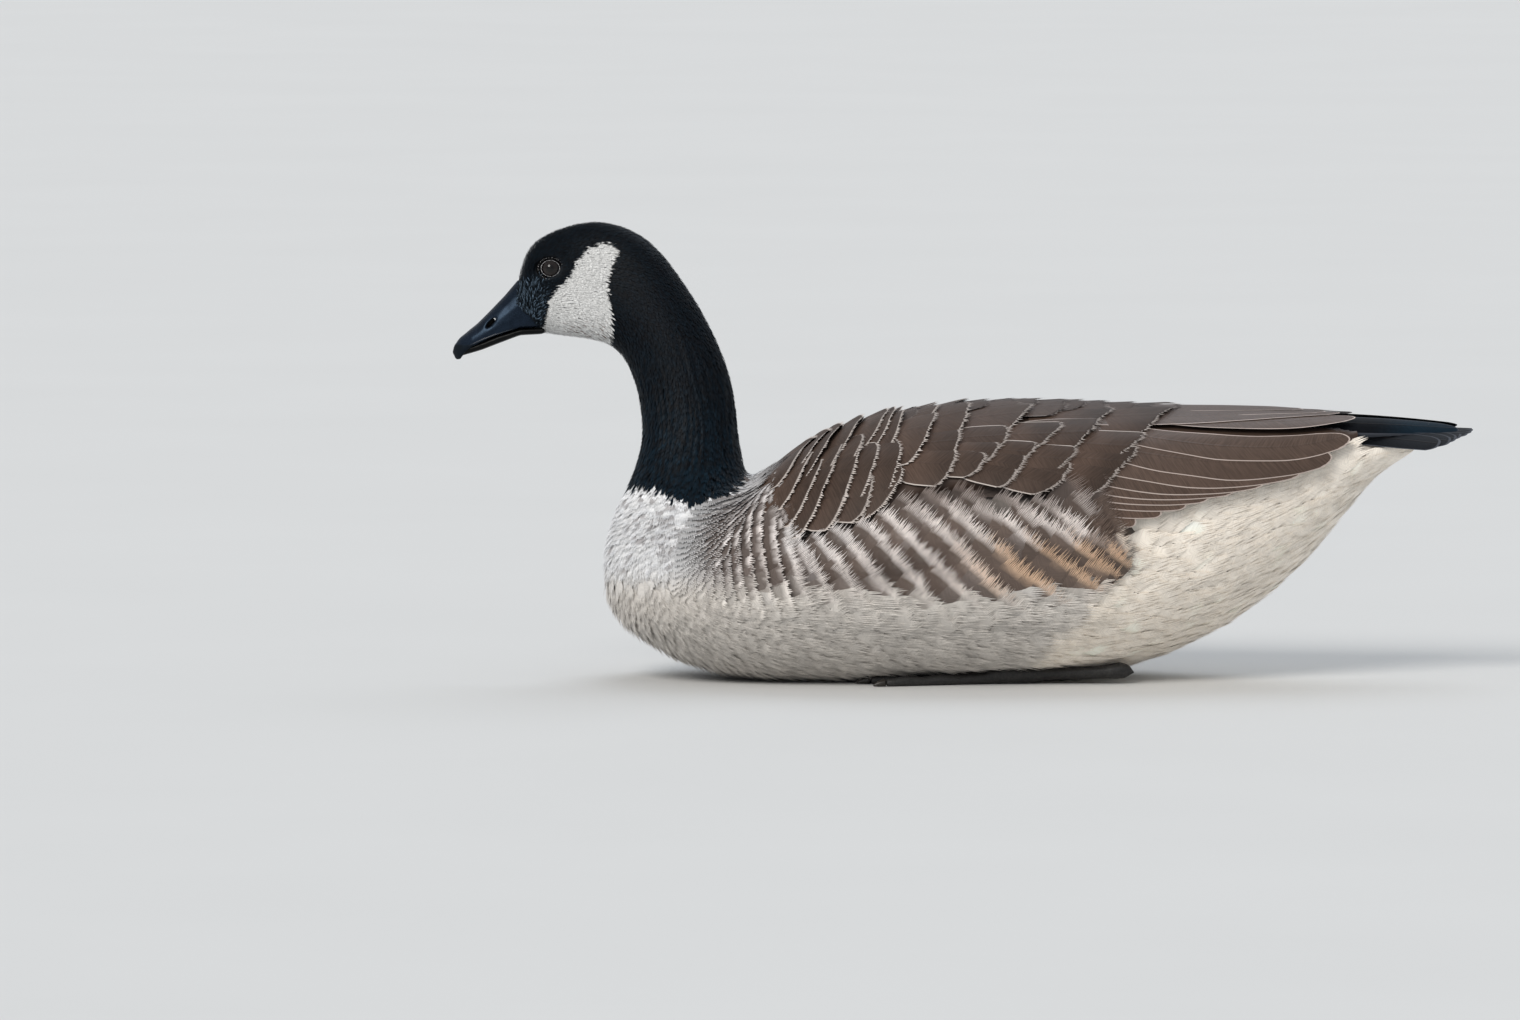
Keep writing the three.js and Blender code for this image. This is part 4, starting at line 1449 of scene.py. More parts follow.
    def velvet_coat(self, material: Material) -> None:
        """The velvet of head and neck, from the edge of the bill to the breast.

        Args:
            material: its material.
        """
        ribs = self.surface.ribs
        spans = {
            "head_front": (0.0, ribs["brow"] + 0.012),
            "head_back": (ribs["brow"] + 0.012, ribs["hind crown"]),
            "neck_top": (ribs["hind crown"], ribs["mid neck"]),
            "neck_base": (ribs["mid neck"], ribs["fore breast"]),
        }
        centre = (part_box("eye_left")[0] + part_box("eye_left")[1]) / 2
        eye = PICTURE.seen(np.array([centre.x - 0.0015, -0.020, centre.z + 0.0005]))
        furrowed = self.surface.raised(self.furrows() + self.brow())
        for name, span in spans.items():
            u, angle = rows_of(
                self.surface, span, lambda place: float(self.velvet_size(place)[0]), 0.82, self.rng, 0.4
            )
            seen = self.surface.sample(self.surface.seen, u, angle)
            _, length, width = self.velvet_size(u)
            keep = (self.markings.black_share(seen, 3.0) > 0.5) | (u < ribs["low neck"])
            keep &= self.behind_bill(seen) > 0.8 * self.rng.standard_normal(len(u))
            ahead = self.surface.sample(self.surface.seen, u + 0.7 * length, angle)
            middle = (seen + ahead) / 2
            for spot in (seen, middle, ahead):
                gap = np.linalg.norm((spot - eye) * [0.96, 1.10], axis=1) * PICTURE.pixel
                keep &= (gap > self.lid) | (np.abs(np.sin(angle)) < 0.3)
            u, angle = u[keep], angle[keep]
            plan = self.plan(u, angle, 0 * u, length[keep], width[keep], 0.0003 + 0.04 * length[keep], 0.0011)
            coat = Coat(name, furrowed, self.rng)
            coat.lay(self.velvet, plan)
            if name == "head_front":
                self.lay_strokes(coat)
            coat.finish(material, "plumage_black")

    def lay_strokes(self, coat: Coat) -> None:
        """Lays the fine lighter strokes between bill and eye, whose bluish-grey is a painted sheen.

        Args:
            coat: coat that they join.
        """
        span = (0.0, self.surface.ribs["brow"])
        u, angle = rows_of(self.surface, span, lambda place: 0.0019, 0.9, self.rng, 0.5)
        seen = self.surface.sample(self.surface.seen, u, angle)
        off = np.hypot((seen[:, 0] - 535) / 17, (seen[:, 1] - 301) / 21)
        keep = off < 1 + 0.15 * self.rng.standard_normal(len(u))
        keep &= self.behind_bill(seen) > 1.5
        u, angle = u[keep], angle[keep]
        shade = self.rng.uniform(0.15, 1.35, len(u))[:, None]
        lean = -0.55 + 0.35 * self.rng.standard_normal(len(u))
        plan = Plan(
            u, angle, lean, length=0.0036, width=0.00055, base=Markings.LORE * shade * 0.5,
            tip=Markings.LORE * shade, root_height=0.0002, tip_height=0.0011, tip_from=0.3,
        )
        coat.lay(self.stroke, plan)

    def behind_bill(self, seen: Array) -> Array:
        """How far places lie behind the edge where the feathers meet the bill, in pixels."""
        return seen[:, 0] - np.interp(seen[:, 1], *np.array(self.feather_edge).T)

    def brow(self) -> Array:
        """Heights of the steep brow over the root of the bill."""
        u, angle = self.surface.grid()
        middle = self.surface.ribs["forehead"] + 0.002
        return 0.0022 * np.exp(-(((u - middle) / 0.009) ** 2)) * smoothstep(0.35, 0.95, np.cos(angle))

    def furrows(self) -> Array:
        """Heights of the fine furrows that run down the neck.

        Returns:
            Heights over the whole grid.
        """
        u, angle = self.surface.grid()
        angle = np.abs(angle)
        wave = np.sin(38 * angle + 1.8 * np.sin(70 * u + 5 * angle) + 1.7 * np.sin(31 * u + 9 * angle))
        depth = 0.00024 * (1 + 0.8 * np.sin(47 * u + 11 * angle) * np.sin(29 * u - 7 * angle))
        ribs = self.surface.ribs
        above = smoothstep(ribs["breast"], ribs["neck foot"], u)
        return depth * wave * (smoothstep(ribs["nape"], ribs["mid neck"], u) * above)

    def lean_of(self, seen: Array, angle: Array) -> Array:
        """Turn of the body's feathers towards the belly, in radians."""
        flank = smoothstep(820, 940, seen[:, 0]) * smoothstep(1190, 1120, seen[:, 0])
        flank = flank * smoothstep(560, 515, seen[:, 1]) * smoothstep(0.9, 1.2, np.abs(angle))
        return -math.radians(32) * flank

    def body(self, material: Material) -> None:
        """Breast, belly, flanks, back and vent.

        Args:
            material: material of all of them.
        """
        ribs = self.surface.ribs
        start, end = ribs["neck foot"] - 0.012, ribs["tail root"] - 0.004

        def step(u: float) -> float:
            """Distance between the rows at a place along."""
            bends = [ribs["neck foot"], ribs["fore breast"], ribs["shoulders"], ribs["mid back"]]
            return float(np.interp(u, bends, [0.0034, 0.0042, 0.0058, 0.0085]))

        u, angle = rows_of(self.surface, (start, end), step, 1.0, self.rng, 0.22)
        seen = self.surface.sample(self.surface.seen, u, angle)
        cover = self.surface.sample(self.wing_cover, u, angle)
        keep = (self.markings.black_share(seen, 0.0) < 0.7) & (cover < 0.75)
        for lines in (self.flank_lines, self.breast_lines):
            outline = [line.top for line in lines] + [line.foot for line in reversed(lines)]
            keep &= inside(seen, outline) < 12
        wave = 6 * np.sin(seen[:, 0] / 19) + 4 * np.sin(seen[:, 0] / 7.3)
        wave = wave + 3 * self.rng.standard_normal(len(u))
        skirt = smoothstep(584, 592, seen[:, 1] + wave) * smoothstep(1095, 1070, seen[:, 0])
        keep &= u < ribs["tail root"] - np.where(np.cos(angle) < -0.2, 0.016, 0.052)
        u, angle, seen, skirt = u[keep], angle[keep], seen[keep], skirt[keep]
        spacing = np.array([step(value) for value in u])
        vent = smoothstep(1125, 1150, seen[:, 0] + 0.9 * np.maximum(seen[:, 1] - 560, 0))
        under = smoothstep(560, 600, seen[:, 1])
        length = spacing * (3.2 + 0.9 * vent)
        width = spacing * (1.8 + 0.2 * vent)
        plan = self.plan(u, angle, self.lean_of(seen, angle), length, width, 0.0012 - 0.0009 * vent, 0.0034)
        plan.root_height += 0.0026 * smoothstep(28, 6, Markings.below_neck(seen))
        plan.root_height += 0.0030 * skirt * smoothstep(630, 610, seen[:, 1])
        plan.tip_height += 0.0026 * skirt * smoothstep(640, 610, seen[:, 1])
        barred = smoothstep(660, 740, seen[:, 0]) * (1 - under) * (1 - vent)
        plan.tip_from = plan.tip_from + 0.10 + 0.16 * barred + 0.05 * self.rng.standard_normal(len(u))
        plan.ramp = 0.14
        left, top, low = np.sin(angle) >= 0, np.cos(angle) > 0.25, np.abs(angle) >= 2.25
        front = u < ribs["shoulders"] - 0.01
        tracts = {
            "breast_left": front & left,
            "breast_right": front & ~left,
            "back": ~front & top,
            "flank_left": ~front & ~top & left & ~low,
            "flank_right": ~front & ~top & ~left & ~low,
            "belly": ~front & low,
        }
        for name, chosen in tracts.items():
            coat = Coat(f"{name}_feathers", self.surface, self.rng)
            coat.lay(self.contour, plan.kept(chosen & (vent < 0.5)))
            coat.lay(self.plume, replace(plan.kept(chosen & (vent >= 0.5)), camber=0.01))
            coat.finish(material, "plumage_white" if "breast" in name else "plumage_grey")

    def flanks(self, over: SurfaceMap, material: Material) -> None:
        """Barred feathers of flank and breast, the flank's swept up over the lower edge of each wing.

        Args:
            over: surface that passes over the wings.
            material: their material.
        """
        bars = tuple(reversed(self.breast_lines + self.swirl_lines))
        for side, sign in SIDES.items():
            coat = Coat(f"flank_sweep_{side}", over, self.rng)
            for line in reversed(self.flank_lines):
                self.lay_line(coat, line, sign, self.flank, 1.8, 0.60, 0.12)
            coat.finish(material, "plumage_grey")
            coat = Coat(f"breast_bars_{side}", over, self.rng)
            for order, line in enumerate(bars):
                self.lay_line(coat, line, sign, self.bar, 0.6, 0.775 + 0.006 * order, 0.05)
            coat.finish(material, "plumage_white")

    def lay_line(
        self, coat: Coat, line: TipLine, sign: float, vane: Vane, stray: float, tip_from: float, ramp: float
    ) -> None:
        """Lays one row of barred feathers.

        Args:
            coat: coat that it joins.
            line: the row.
            sign: 1 for the left side and -1 for the right one.
            vane: form of its feathers.
            stray: how far tips may stray, in pixels.
            tip_from: share of a feather's length where its pale tip starts.
            ramp: share over which it turns pale.
        """
        plan, tips = line.plan(coat.surface, self.rng, sign, stray)
        seen = coat.surface.sample(coat.surface.seen, *tips.T)
        x, y = seen[:, 0], seen[:, 1]
        low = smoothstep(558, 596, y)[:, None]
        front = smoothstep(728, 684, x + 0.8 * np.minimum(y - 530, 0))[:, None]
        base, tip = self.markings.coat(coat.surface, *tips.T)
        dark = Markings.BAR * (1 + 0.3 * smoothstep(800, 860, seen[:, :1]))
        dark = dark * (1 - front) + Markings.BREAST_BASE * 0.55 * front
        plan.base = vary(np.minimum(base, dark) * (1 - low) + base * low, self.rng, 0.10)
        plan.tip = vary(tip, self.rng, 0.05)
        plan.root_height = -0.0040 - 0.0036 * smoothstep(790, 720, x)
        plan.tip_height = 0.0016 + 0.0004 * self.rng.random(len(x)) - 0.0008 * smoothstep(820, 760, x)
        plan.tip_from = tip_from + 0.015 * self.rng.standard_normal(len(x))
        coat.lay(vane, replace(plan, ramp=ramp, camber=0.03))


@dataclass(frozen=True)
class Quill:
    """One long feather, by the pixels of its root and tip, and its width in metres."""

    root: Pixel
    tip: Pixel
    width: float


@dataclass(frozen=True)
class Tile:
    """A broad feather, by the pixels of the two corners of its tip and its dip in degrees."""

    upper: Pixel
    lower: Pixel
    dip: float
    length: float = 0.045
    bulge: float = 0.0055

    def laid(
        self, coat: Coat, vane: Vane, sign: float, colours: tuple[Array, Array], heights: tuple[float, float]
    ) -> None:
        """Lays the feather on one side.

        Args:
            coat: coat that it joins.
            vane: form of its kind.
            sign: 1 for the left side and -1 for the right one.
            colours: colours of base and tip.
            heights: heights of root and tip over the coat's surface.
        """
        surface = coat.surface
        u, angle = surface.locate([self.upper, self.lower])
        end_u, end_angle = u.mean(keepdims=True), angle.mean(keepdims=True)
        lean = np.array([math.radians(self.dip)])
        along, across, _ = surface.axes(end_u, end_angle, lean)
        corners = surface.point(u, angle)
        line = corners[0] - corners[1]
        root_u, root_angle = end_u, end_angle
        for _ in range(4):
            step_u, step_angle = surface.steps(root_u, root_angle, surface.axes(root_u, root_angle, lean)[0])
            root_u = root_u * 0.5 + (end_u - step_u * self.length) * 0.5
            root_angle = root_angle * 0.5 + (end_angle - step_angle * self.length) * 0.5
        slant = float(line @ along[0]) / (2 * self.length)
        width = abs(float(line @ across[0])) * 1.14
        base, tip = (vary(colour[None], coat.rng, 0.10) for colour in colours)
        coat.lay(
            replace(vane, slant=slant, drop=self.bulge / self.length, variants=1),
            Plan(
                root_u, root_angle * sign, lean, self.length, width, base, tip, *heights, tip_from=0.35,
                camber=0.045, patch=0.05, ramp=0.5,
            ),
        )


@dataclass
class WingCoat:
    """Scapulars, coverts and folded flight feathers of both wings.

    The tiles run from the rear to the front, so that each lies over those behind it. An inner quill is given
    by x and angle of its root, x and angle of its tip, and its width.
    """

    BROWN = np.array([0.082, 0.053, 0.040])
    DARK = np.array([0.052, 0.035, 0.027])

    surface: SurfaceMap
    cover: Array
    rng: Rng
    tiles: tuple[Tile, ...] = tuple(Tile(*row) for row in (
        ((1122, 468), (1094, 497), 16, 0.050), ((1142, 448), (1110, 482), 14, 0.055),
        ((1150, 434), (1110, 464), 12, 0.055), ((1184, 408), (1142, 442), 7, 0.060),
        ((1070, 476), (1038, 495), 16, 0.045), ((1075, 464), (1055, 484), 13, 0.045),
        ((1081, 448), (1054, 474), 8, 0.050), ((1103, 420), (1073, 453), 4, 0.055),
        ((1119, 409), (1095, 425), 2, 0.055), ((1020, 468), (1002, 488), 18, 0.042),
        ((1028, 456), (1011, 479), 13, 0.045), ((1042, 444), (1018, 463), 8, 0.048),
        ((1068, 424), (1036, 449), 2, 0.050), ((991, 455), (971, 478), 14, 0.042),
        ((1004, 444), (984, 464), 8, 0.045), ((1011, 427), (1000, 449), 3, 0.048),
        ((1037, 406), (1007, 431), 1, 0.050), ((962, 450), (941, 486), 16, 0.042),
        ((958, 452), (942, 473), 12, 0.040), ((964, 430), (953, 457), 8, 0.042),
        ((975, 404), (961, 434), 3, 0.045), ((945, 413), (917, 459), 12, 0.040, 0.007),
        ((943, 406), (930, 421), 9, 0.036), ((916, 470), (866, 520), 22, 0.038, 0.010),
        ((909, 410), (899, 443), 12, 0.034), ((902, 408), (885, 441), 14, 0.034),
        ((895, 412), (874, 442), 16, 0.034), ((912, 440), (882, 508), 14, 0.042, 0.012),
        ((881, 476), (859, 520), 18, 0.036, 0.007), ((890, 445), (856, 508), 14, 0.038, 0.007),
        ((860, 474), (831, 526), 20, 0.034), ((870, 416), (846, 452), 18, 0.034),
        ((871, 443), (837, 516), 17, 0.038, 0.007), ((873, 436), (841, 489), 18, 0.036, 0.007),
        ((842, 456), (812, 531), 20, 0.034), ((848, 444), (822, 493), 20, 0.034, 0.007),
        ((824, 462), (803, 520), 20, 0.030), ((845, 426), (820, 471), 22, 0.032),
        ((813, 452), (795, 502), 20, 0.028), ((832, 432), (808, 467), 24, 0.030),
        ((803, 450), (789, 480), 18, 0.026), ((817, 438), (800, 458), 26, 0.026),
    ))
    quills: tuple[Quill, ...] = tuple(Quill(*row) for row in (
        ((1060, 500), (1137, 520), 0.016), ((1062, 494), (1162, 510), 0.016),
        ((1065, 488), (1186, 502), 0.016), ((1070, 483), (1208, 494), 0.017),
        ((1075, 477), (1234, 486), 0.018), ((1080, 468), (1264, 477), 0.020),
        ((1085, 456), (1300, 466), 0.022), ((1090, 441), (1328, 453), 0.025),
        ((1095, 426), (1346, 437), 0.022), ((1110, 411), (1352, 420), 0.020),
    ))
    inner_quills: tuple[tuple[float, ...], ...] = (
        (0.080, 0.50, 0.245, 0.40, 0.024), (0.082, 0.32, 0.236, 0.27, 0.026),
        (0.085, 0.14, 0.222, 0.13, 0.028),
    )
    primary_tips: tuple[float, ...] = (0.272, 0.288, 0.301, 0.312, 0.320, 0.325)
    scapular: Vane = Vane(
        strips=42, rows=8, split=0.885, root=0.55, widest=0.5, blunt=3.4, fray=0.075, spread=0.01,
        narrow=0.06, crowd=1.6, side_fringe=4.4, thin=0.92, sweep=0.02,
    )
    flight: Vane = Vane(
        strips=12, rows=22, split=0.97, root=0.75, widest=0.45, drop=0.08, blunt=2.6, slant=-0.035,
        fray=0.01, spread=0.0, narrow=0.35, side_fringe=2.2, tip_fringe=1.6,
    )

    def lay_side(self, side: str, brown: Material, flight: Material, black: Material) -> None:
        """Lays one wing.

        Args:
            side: left or right.
            brown: material of the scapulars.
            flight: material of the brown flight feathers.
            black: material of the black feathers.
        """
        sign = SIDES[side]
        self.lay_base(side, sign, flight)
        self.lay_primaries(side, sign, black)
        self.lay_quills(side, sign, flight)
        self.lay_scapulars(side, sign, brown)

    def lay_base(self, side: str, sign: float, material: Material) -> None:
        """The body of the folded wing under its feathers.

        Args:
            side: left or right.
            sign: 1 for the left side and -1 for the right one.
            material: its material.
        """
        bm = bmesh.new()
        bmesh.ops.create_grid(bm, x_segments=90, y_segments=48, size=1.0)
        place = np.array([(vert.co.x, vert.co.y) for vert in bm.verts])
        ribs = self.surface.ribs
        u = np.interp(place[:, 0], (-1, 1), (ribs["fore breast"], ribs["tail coverts"]))
        angle = np.interp(place[:, 1], (-1, 1), (0.05, 2.0)) * sign
        cover = self.surface.sample(self.cover, u, angle)
        sunk = 0.0034 + 0.020 * smoothstep(0.75, 0.25, cover)
        for vert, point in zip(bm.verts, self.surface.lifted(u, angle, -sunk)):
            vert.co = point
        if sign > 0:
            bmesh.ops.reverse_faces(bm, faces=bm.faces[:])
        mesh = mesh_from(bm, "wing base")
        # 0.7 of the brown: painted shade in the gaps between the wing's feathers
        dress(mesh, np.tile(self.BROWN * 0.7, (len(mesh.vertices), 1)), PLAIN_VANE)
        hand_over(f"wing_base_{side}", mesh, material)

    def lay_primaries(self, side: str, sign: float, material: Material) -> None:
        """The free ends of the longest flight feathers, crossed over the root of the tail.

        Args:
            side: left or right.
            sign: 1 for the left side and -1 for the right one.
            material: their material.
        """
        coat = Coat(f"primary_feathers_{side}", self.surface, self.rng)
        count = len(self.primary_tips)
        order = np.arange(count) / (count - 1)
        start = np.stack([
            0.196 + 0.010 * order, -sign * (0.034 - 0.006 * order), 0.1655 + 0.0045 * order
        ], axis=1)
        end = np.stack([self.primary_tips, -sign * (0.0165 - 0.007 * order), 0.1625 + 0.0020 * order], axis=1)
        # the tips take the painted blue sheen
        plan = Plan(
            np.linspace(0.60, 0.74, count), sign * np.linspace(0.5, 0.9, count), lean=0.0, length=1.0,
            width=0.0150, base=Markings.BLACK,
            tip=vary(np.tile(Markings.SHEEN_BLACK * 1.1, (count, 1)), self.rng, 0.1), camber=0.10, patch=0.07,
        )
        normal = np.tile(unit(np.array([0.06, -sign * 0.62, 0.78])), (count, 1))
        coat.spread(self.flight, plan, start, end, normal, 0.012)
        coat.finish(material, "plumage_black", [f"wing_{side}_primaries"])

    def lay_quills(self, side: str, sign: float, material: Material) -> None:
        """Secondaries and tertials, the lowest first.

        Args:
            side: left or right.
            sign: 1 for the left side and -1 for the right one.
            material: their material.
        """
        coat = Coat(f"flight_feathers_{side}", self.surface, self.rng)
        rows, spokes = self.surface.points.shape[:2]
        ridge = self.surface.points[rows // 2:, spokes // 2, 0]
        run = np.arange(rows // 2, rows) * self.surface.step
        inner = np.array(self.inner_quills)
        ends = []
        for pixels, x, turned in (
            ([quill.root for quill in self.quills], inner[:, 0], inner[:, 1]),
            ([quill.tip for quill in self.quills], inner[:, 2], inner[:, 3]),
        ):
            u, angle = self.surface.locate(pixels)
            ends += [np.concatenate([u, np.interp(x, ridge, run)]), np.concatenate([angle, turned]) * sign]
        u, angle, end_u, end_angle = ends
        order = np.arange(len(u)) / (len(self.quills) - 1)
        shade = np.minimum(order, 1.0)
        raised = shade + (0.08 if sign > 0 else 0.0) * (order > 1)
        base = self.BROWN * 1.25 * (1 - shade)[:, None] + self.DARK * 1.5 * shade[:, None]
        plan = Plan(
            u, angle, lean=0.0, length=1.0, width=[quill.width for quill in self.quills] + list(inner[:, 4]),
            base=vary(base, self.rng, 0.06), tip=vary(base * 1.05, self.rng, 0.05),
            root_height=-0.0040 + 0.0030 * raised, tip_height=-0.0030 + 0.0056 * raised, tip_from=0.6,
            camber=0.008, patch=0.07,
        )
        coat.stretch(self.flight, plan, end_u, end_angle)
        coat.finish(material, "plumage_brown", [f"wing_{side}_secondaries", f"wing_{side}_tertials"])

    def lay_scapulars(self, side: str, sign: float, material: Material) -> None:
        """Scapulars and coverts, each a little higher than the one before it.

        Args:
            side: left or right.
            sign: 1 for the left side and -1 for the right one.
            material: their material.
        """
        coat = Coat(f"scapulars_{side}", self.surface, self.rng)
        for order, tile in enumerate(self.tiles):
            level = 0.0012 * (order / len(self.tiles))
            # tips darker: partly the feathers' own tone, partly painted shade from the feather in front
            tile.laid(coat, self.scapular, sign, (self.BROWN, self.DARK), (-0.0034 + level, 0.0006 + level))
        coat.finish(material, "plumage_brown", [f"wing_{side}_scapulars", f"wing_{side}_coverts"])

    def lay_mantle(self, material: Material) -> None:
        """Broad feathers of the middle of the back, between the two wings.

        Args:
            material: their material.
        """
        ribs = self.surface.ribs
        coat = Coat("mantle_feathers", self.surface, self.rng)
        form = replace(self.scapular, drop=0.17, blunt=2.4, variants=2)
        start, row = ribs["rump"] - 0.060, 0
        while start > ribs["shoulders"] + 0.022:
            size = float(np.interp(start, (ribs["shoulders"], ribs["back"]), (0.45, 1.0)))
            shares = np.array([-1.0, 0.0, 1.0]) if row % 2 else np.array([-0.5, 0.5])
            count = len(shares)
            angle = shares * 0.21 + 0.01 * self.rng.standard_normal(count)
            # tips darker: partly the feathers' own tone, partly painted shade from the feather in front
            plan = Plan(
                start + 0.002 * self.rng.standard_normal(count), angle, lean=0.10 * np.abs(shares),
                length=0.060 * size, width=0.042 * size,
                base=vary(np.tile(self.BROWN, (count, 1)), self.rng, 0.10),
                tip=vary(np.tile(self.DARK, (count, 1)), self.rng, 0.10), root_height=-0.0036,
                tip_height=0.0007 + 0.0003 * np.abs(shares), tip_from=0.35,
                camber=0.012, patch=0.05, ramp=0.5,
            )
            coat.lay(form, plan)
            start -= 0.0175 * size
            row += 1
        coat.finish(material, "plumage_brown")


@dataclass
class TailCoat:
    """The fan of stiff tail feathers."""

    surface: SurfaceMap
    rng: Rng
    pairs: int = 8
    rectrix: Vane = Vane(
        strips=14, rows=16, split=0.95, root=0.8, widest=0.6, drop=0.12, blunt=3.0, fray=0.03, spread=0.0,
        narrow=0.10, side_fringe=2.0,
    )

    def build(self, material: Material) -> None:
        """Lays the feathers from the outermost pair to the middle one.

        Args:
            material: their material.
        """
        coat = Coat("tail_feathers", self.surface, self.rng)
        shares = np.array([
            sign * (pair + 0.5) / self.pairs for pair in reversed(range(self.pairs)) for sign in (-1.0, 1.0)
        ])
        count = len(shares)
        ones = np.ones(count)
        low = np.abs(shares) ** 1.6
        start = np.stack([0.250 * ones, 0.017 * shares, 0.1645 - 0.004 * low], axis=1)
        reach = 0.3370 - 0.026 * shares**2 - 0.002 * self.rng.random(count)
        end = np.stack([reach, 0.036 * shares, 0.1640 - 0.0085 * low], axis=1)
        plan = Plan(
            np.linspace(0.70, 0.75, count), 0.8 * shares, lean=0.0, length=1.0, width=0.0205,
            base=vary(np.tile(Markings.BLACK * 0.9, (count, 1)), self.rng, 0.1),
            tip=vary(np.tile(Markings.BLACK * 1.3, (count, 1)), self.rng, 0.1), tip_from=0.4, camber=0.05,
            patch=0.07,
        )
        normal = unit(np.stack([0 * ones, 0.55 * shares, ones], axis=1))
        coat.spread(self.rectrix, plan, start, end, normal, 0.010)
        coat.finish(material, "plumage_black", ["tail"])


def smooth_copy(
    name: str, nodes: Sequence[str], material: Material, voxel: float, smoothing: int,
    grow: float = 0.0003, carve: Callable[[Array], Array] | None = None,
) -> None:
    """Hands over a smooth piece that stands for some solids.

    Args:
        name: name of the piece.
        nodes: the solids.
        material: its material.
        voxel: size of its faces.
        smoothing: rounds of smoothing.
        grow: how far the solids are grown before they are joined.
        carve: takes the points and gives them back moved.
    """
    mesh = remeshed(joined(nodes, grow), voxel, smoothing)
    points = points_of(mesh)
    if carve is not None:
        points = carve(points)
    points[:, 2] = np.maximum(points[:, 2], FLOOR_CLEARANCE)
    move_points(mesh, points)
    hand_over(name, mesh, material, nodes)


def cord_of(bm: BMesh, path: Sequence[Vector], radii: Sequence[float], sides: int = 8) -> None:
    """Adds a round bead along a path.

    Args:
        bm: mesh that it joins.
        path: its middle line.
        radii: its radius at each point.
        sides: corners of its section.
    """
    last: list[bmesh.types.BMEdge] = []
    for index, (point, radius) in enumerate(zip(path, radii)):
        ahead = path[min(index + 1, len(path) - 1)] - path[max(index - 1, 0)]
        place = Matrix.Translation(point) @ ahead.to_track_quat("Z", "Y").to_matrix().to_4x4()
        ends = index in (0, len(path) - 1)
        ring = bmesh.ops.create_circle(bm, cap_ends=ends, segments=sides, radius=radius, matrix=place)
        edges = list({edge for vert in ring["verts"] for edge in vert.link_edges})
        if last:
            bmesh.ops.bridge_loops(bm, edges=last + edges)
        last = edges


@dataclass
class Bill:
    """Horn of the bill: upper half with its nail, lower half, rim of the upper half, and nostril wall."""

    tomium: tuple[Pixel, ...] = (
        (466.7, 346.0), (474, 342.3), (481, 339.2), (488.7, 335.9), (496, 333.2), (503, 330.8),
        (510.7, 328.5), (518, 326.2),
    )
    nostril: Spot = (-0.3129, 0.0, 0.2339)

    def build(self, horn: Material, dark: Material, rim: Material) -> None:
        """Makes the pieces.

        Args:
            horn: material of the upper half.
            dark: material of the lower half and the nostril.
            rim: material of the upper half's edge, lighter than the horn as a painted highlight.
        """
        upper = ("bill_upper", "bill_nail")
        smooth_copy("bill_upper_horn", upper, horn, 0.00062, 9, 0.00026, self.rooted)
        smooth_copy("bill_lower_horn", ("bill_lower",), dark, 0.00070, 7, 0.00060, self.closed)
        self.build_rim(tree_of(joined(upper, 0.0)), rim)
        bm = bmesh.new()
        place = Matrix.Translation(Vector(self.nostril))
        turn = Matrix.Rotation(math.radians(-46), 4, "Y") @ Matrix.Diagonal((0.0046, 0.0003, 0.0026, 1))
        bmesh.ops.create_uvsphere(bm, u_segments=24, v_segments=12, radius=1.0, matrix=place @ turn)
        from_bmesh("nostril_wall", bm, dark)

    @staticmethod
    def rooted(points: Array) -> Array:
        """Points of a half whose rear end is drawn into the head."""
        points[:, 0] += 0.011 * smoothstep(-0.2925, -0.2895, points[:, 0])
        return points

    @staticmethod
    def closed(points: Array) -> Array:
        """Points of the lower half, drawn down off the upper one and forward at its tip."""
        front = smoothstep(-0.3160, -0.3275, points[:, 0])
        points[:, 0] -= 0.0036 * front
        points[:, 2] -= 0.0003 + 0.0003 * front
        return Bill.rooted(points)

    def build_rim(self, tree: BVHTree, material: Material) -> None:
        """A thin bead along the edge of the upper half, on both sides, lighter as a painted highlight.

        Args:
            tree: tree of the upper half.
            material: its material.
        """
        bm = bmesh.new()
        for sign in SIDES.values():
            path = []
            for x, y in self.tomium:
                across, up = (x - PICTURE.middle) * PICTURE.pixel, (PICTURE.floor - y) * PICTURE.pixel
                hit = tree.ray_cast(Vector((across, -0.06, up)), Vector((0, 1, 0)))[0]
                if hit is not None:
                    path.append(Vector((hit.x, (hit.y + 0.0001) * sign, hit.z + 0.0001)))
            swell = [math.sin(math.pi * k / (len(path) - 1)) ** 0.5 for k in range(len(path))]
            cord_of(bm, path, [0.00020 + 0.00024 * share for share in swell])
        from_bmesh("bill_rim", bm, material)


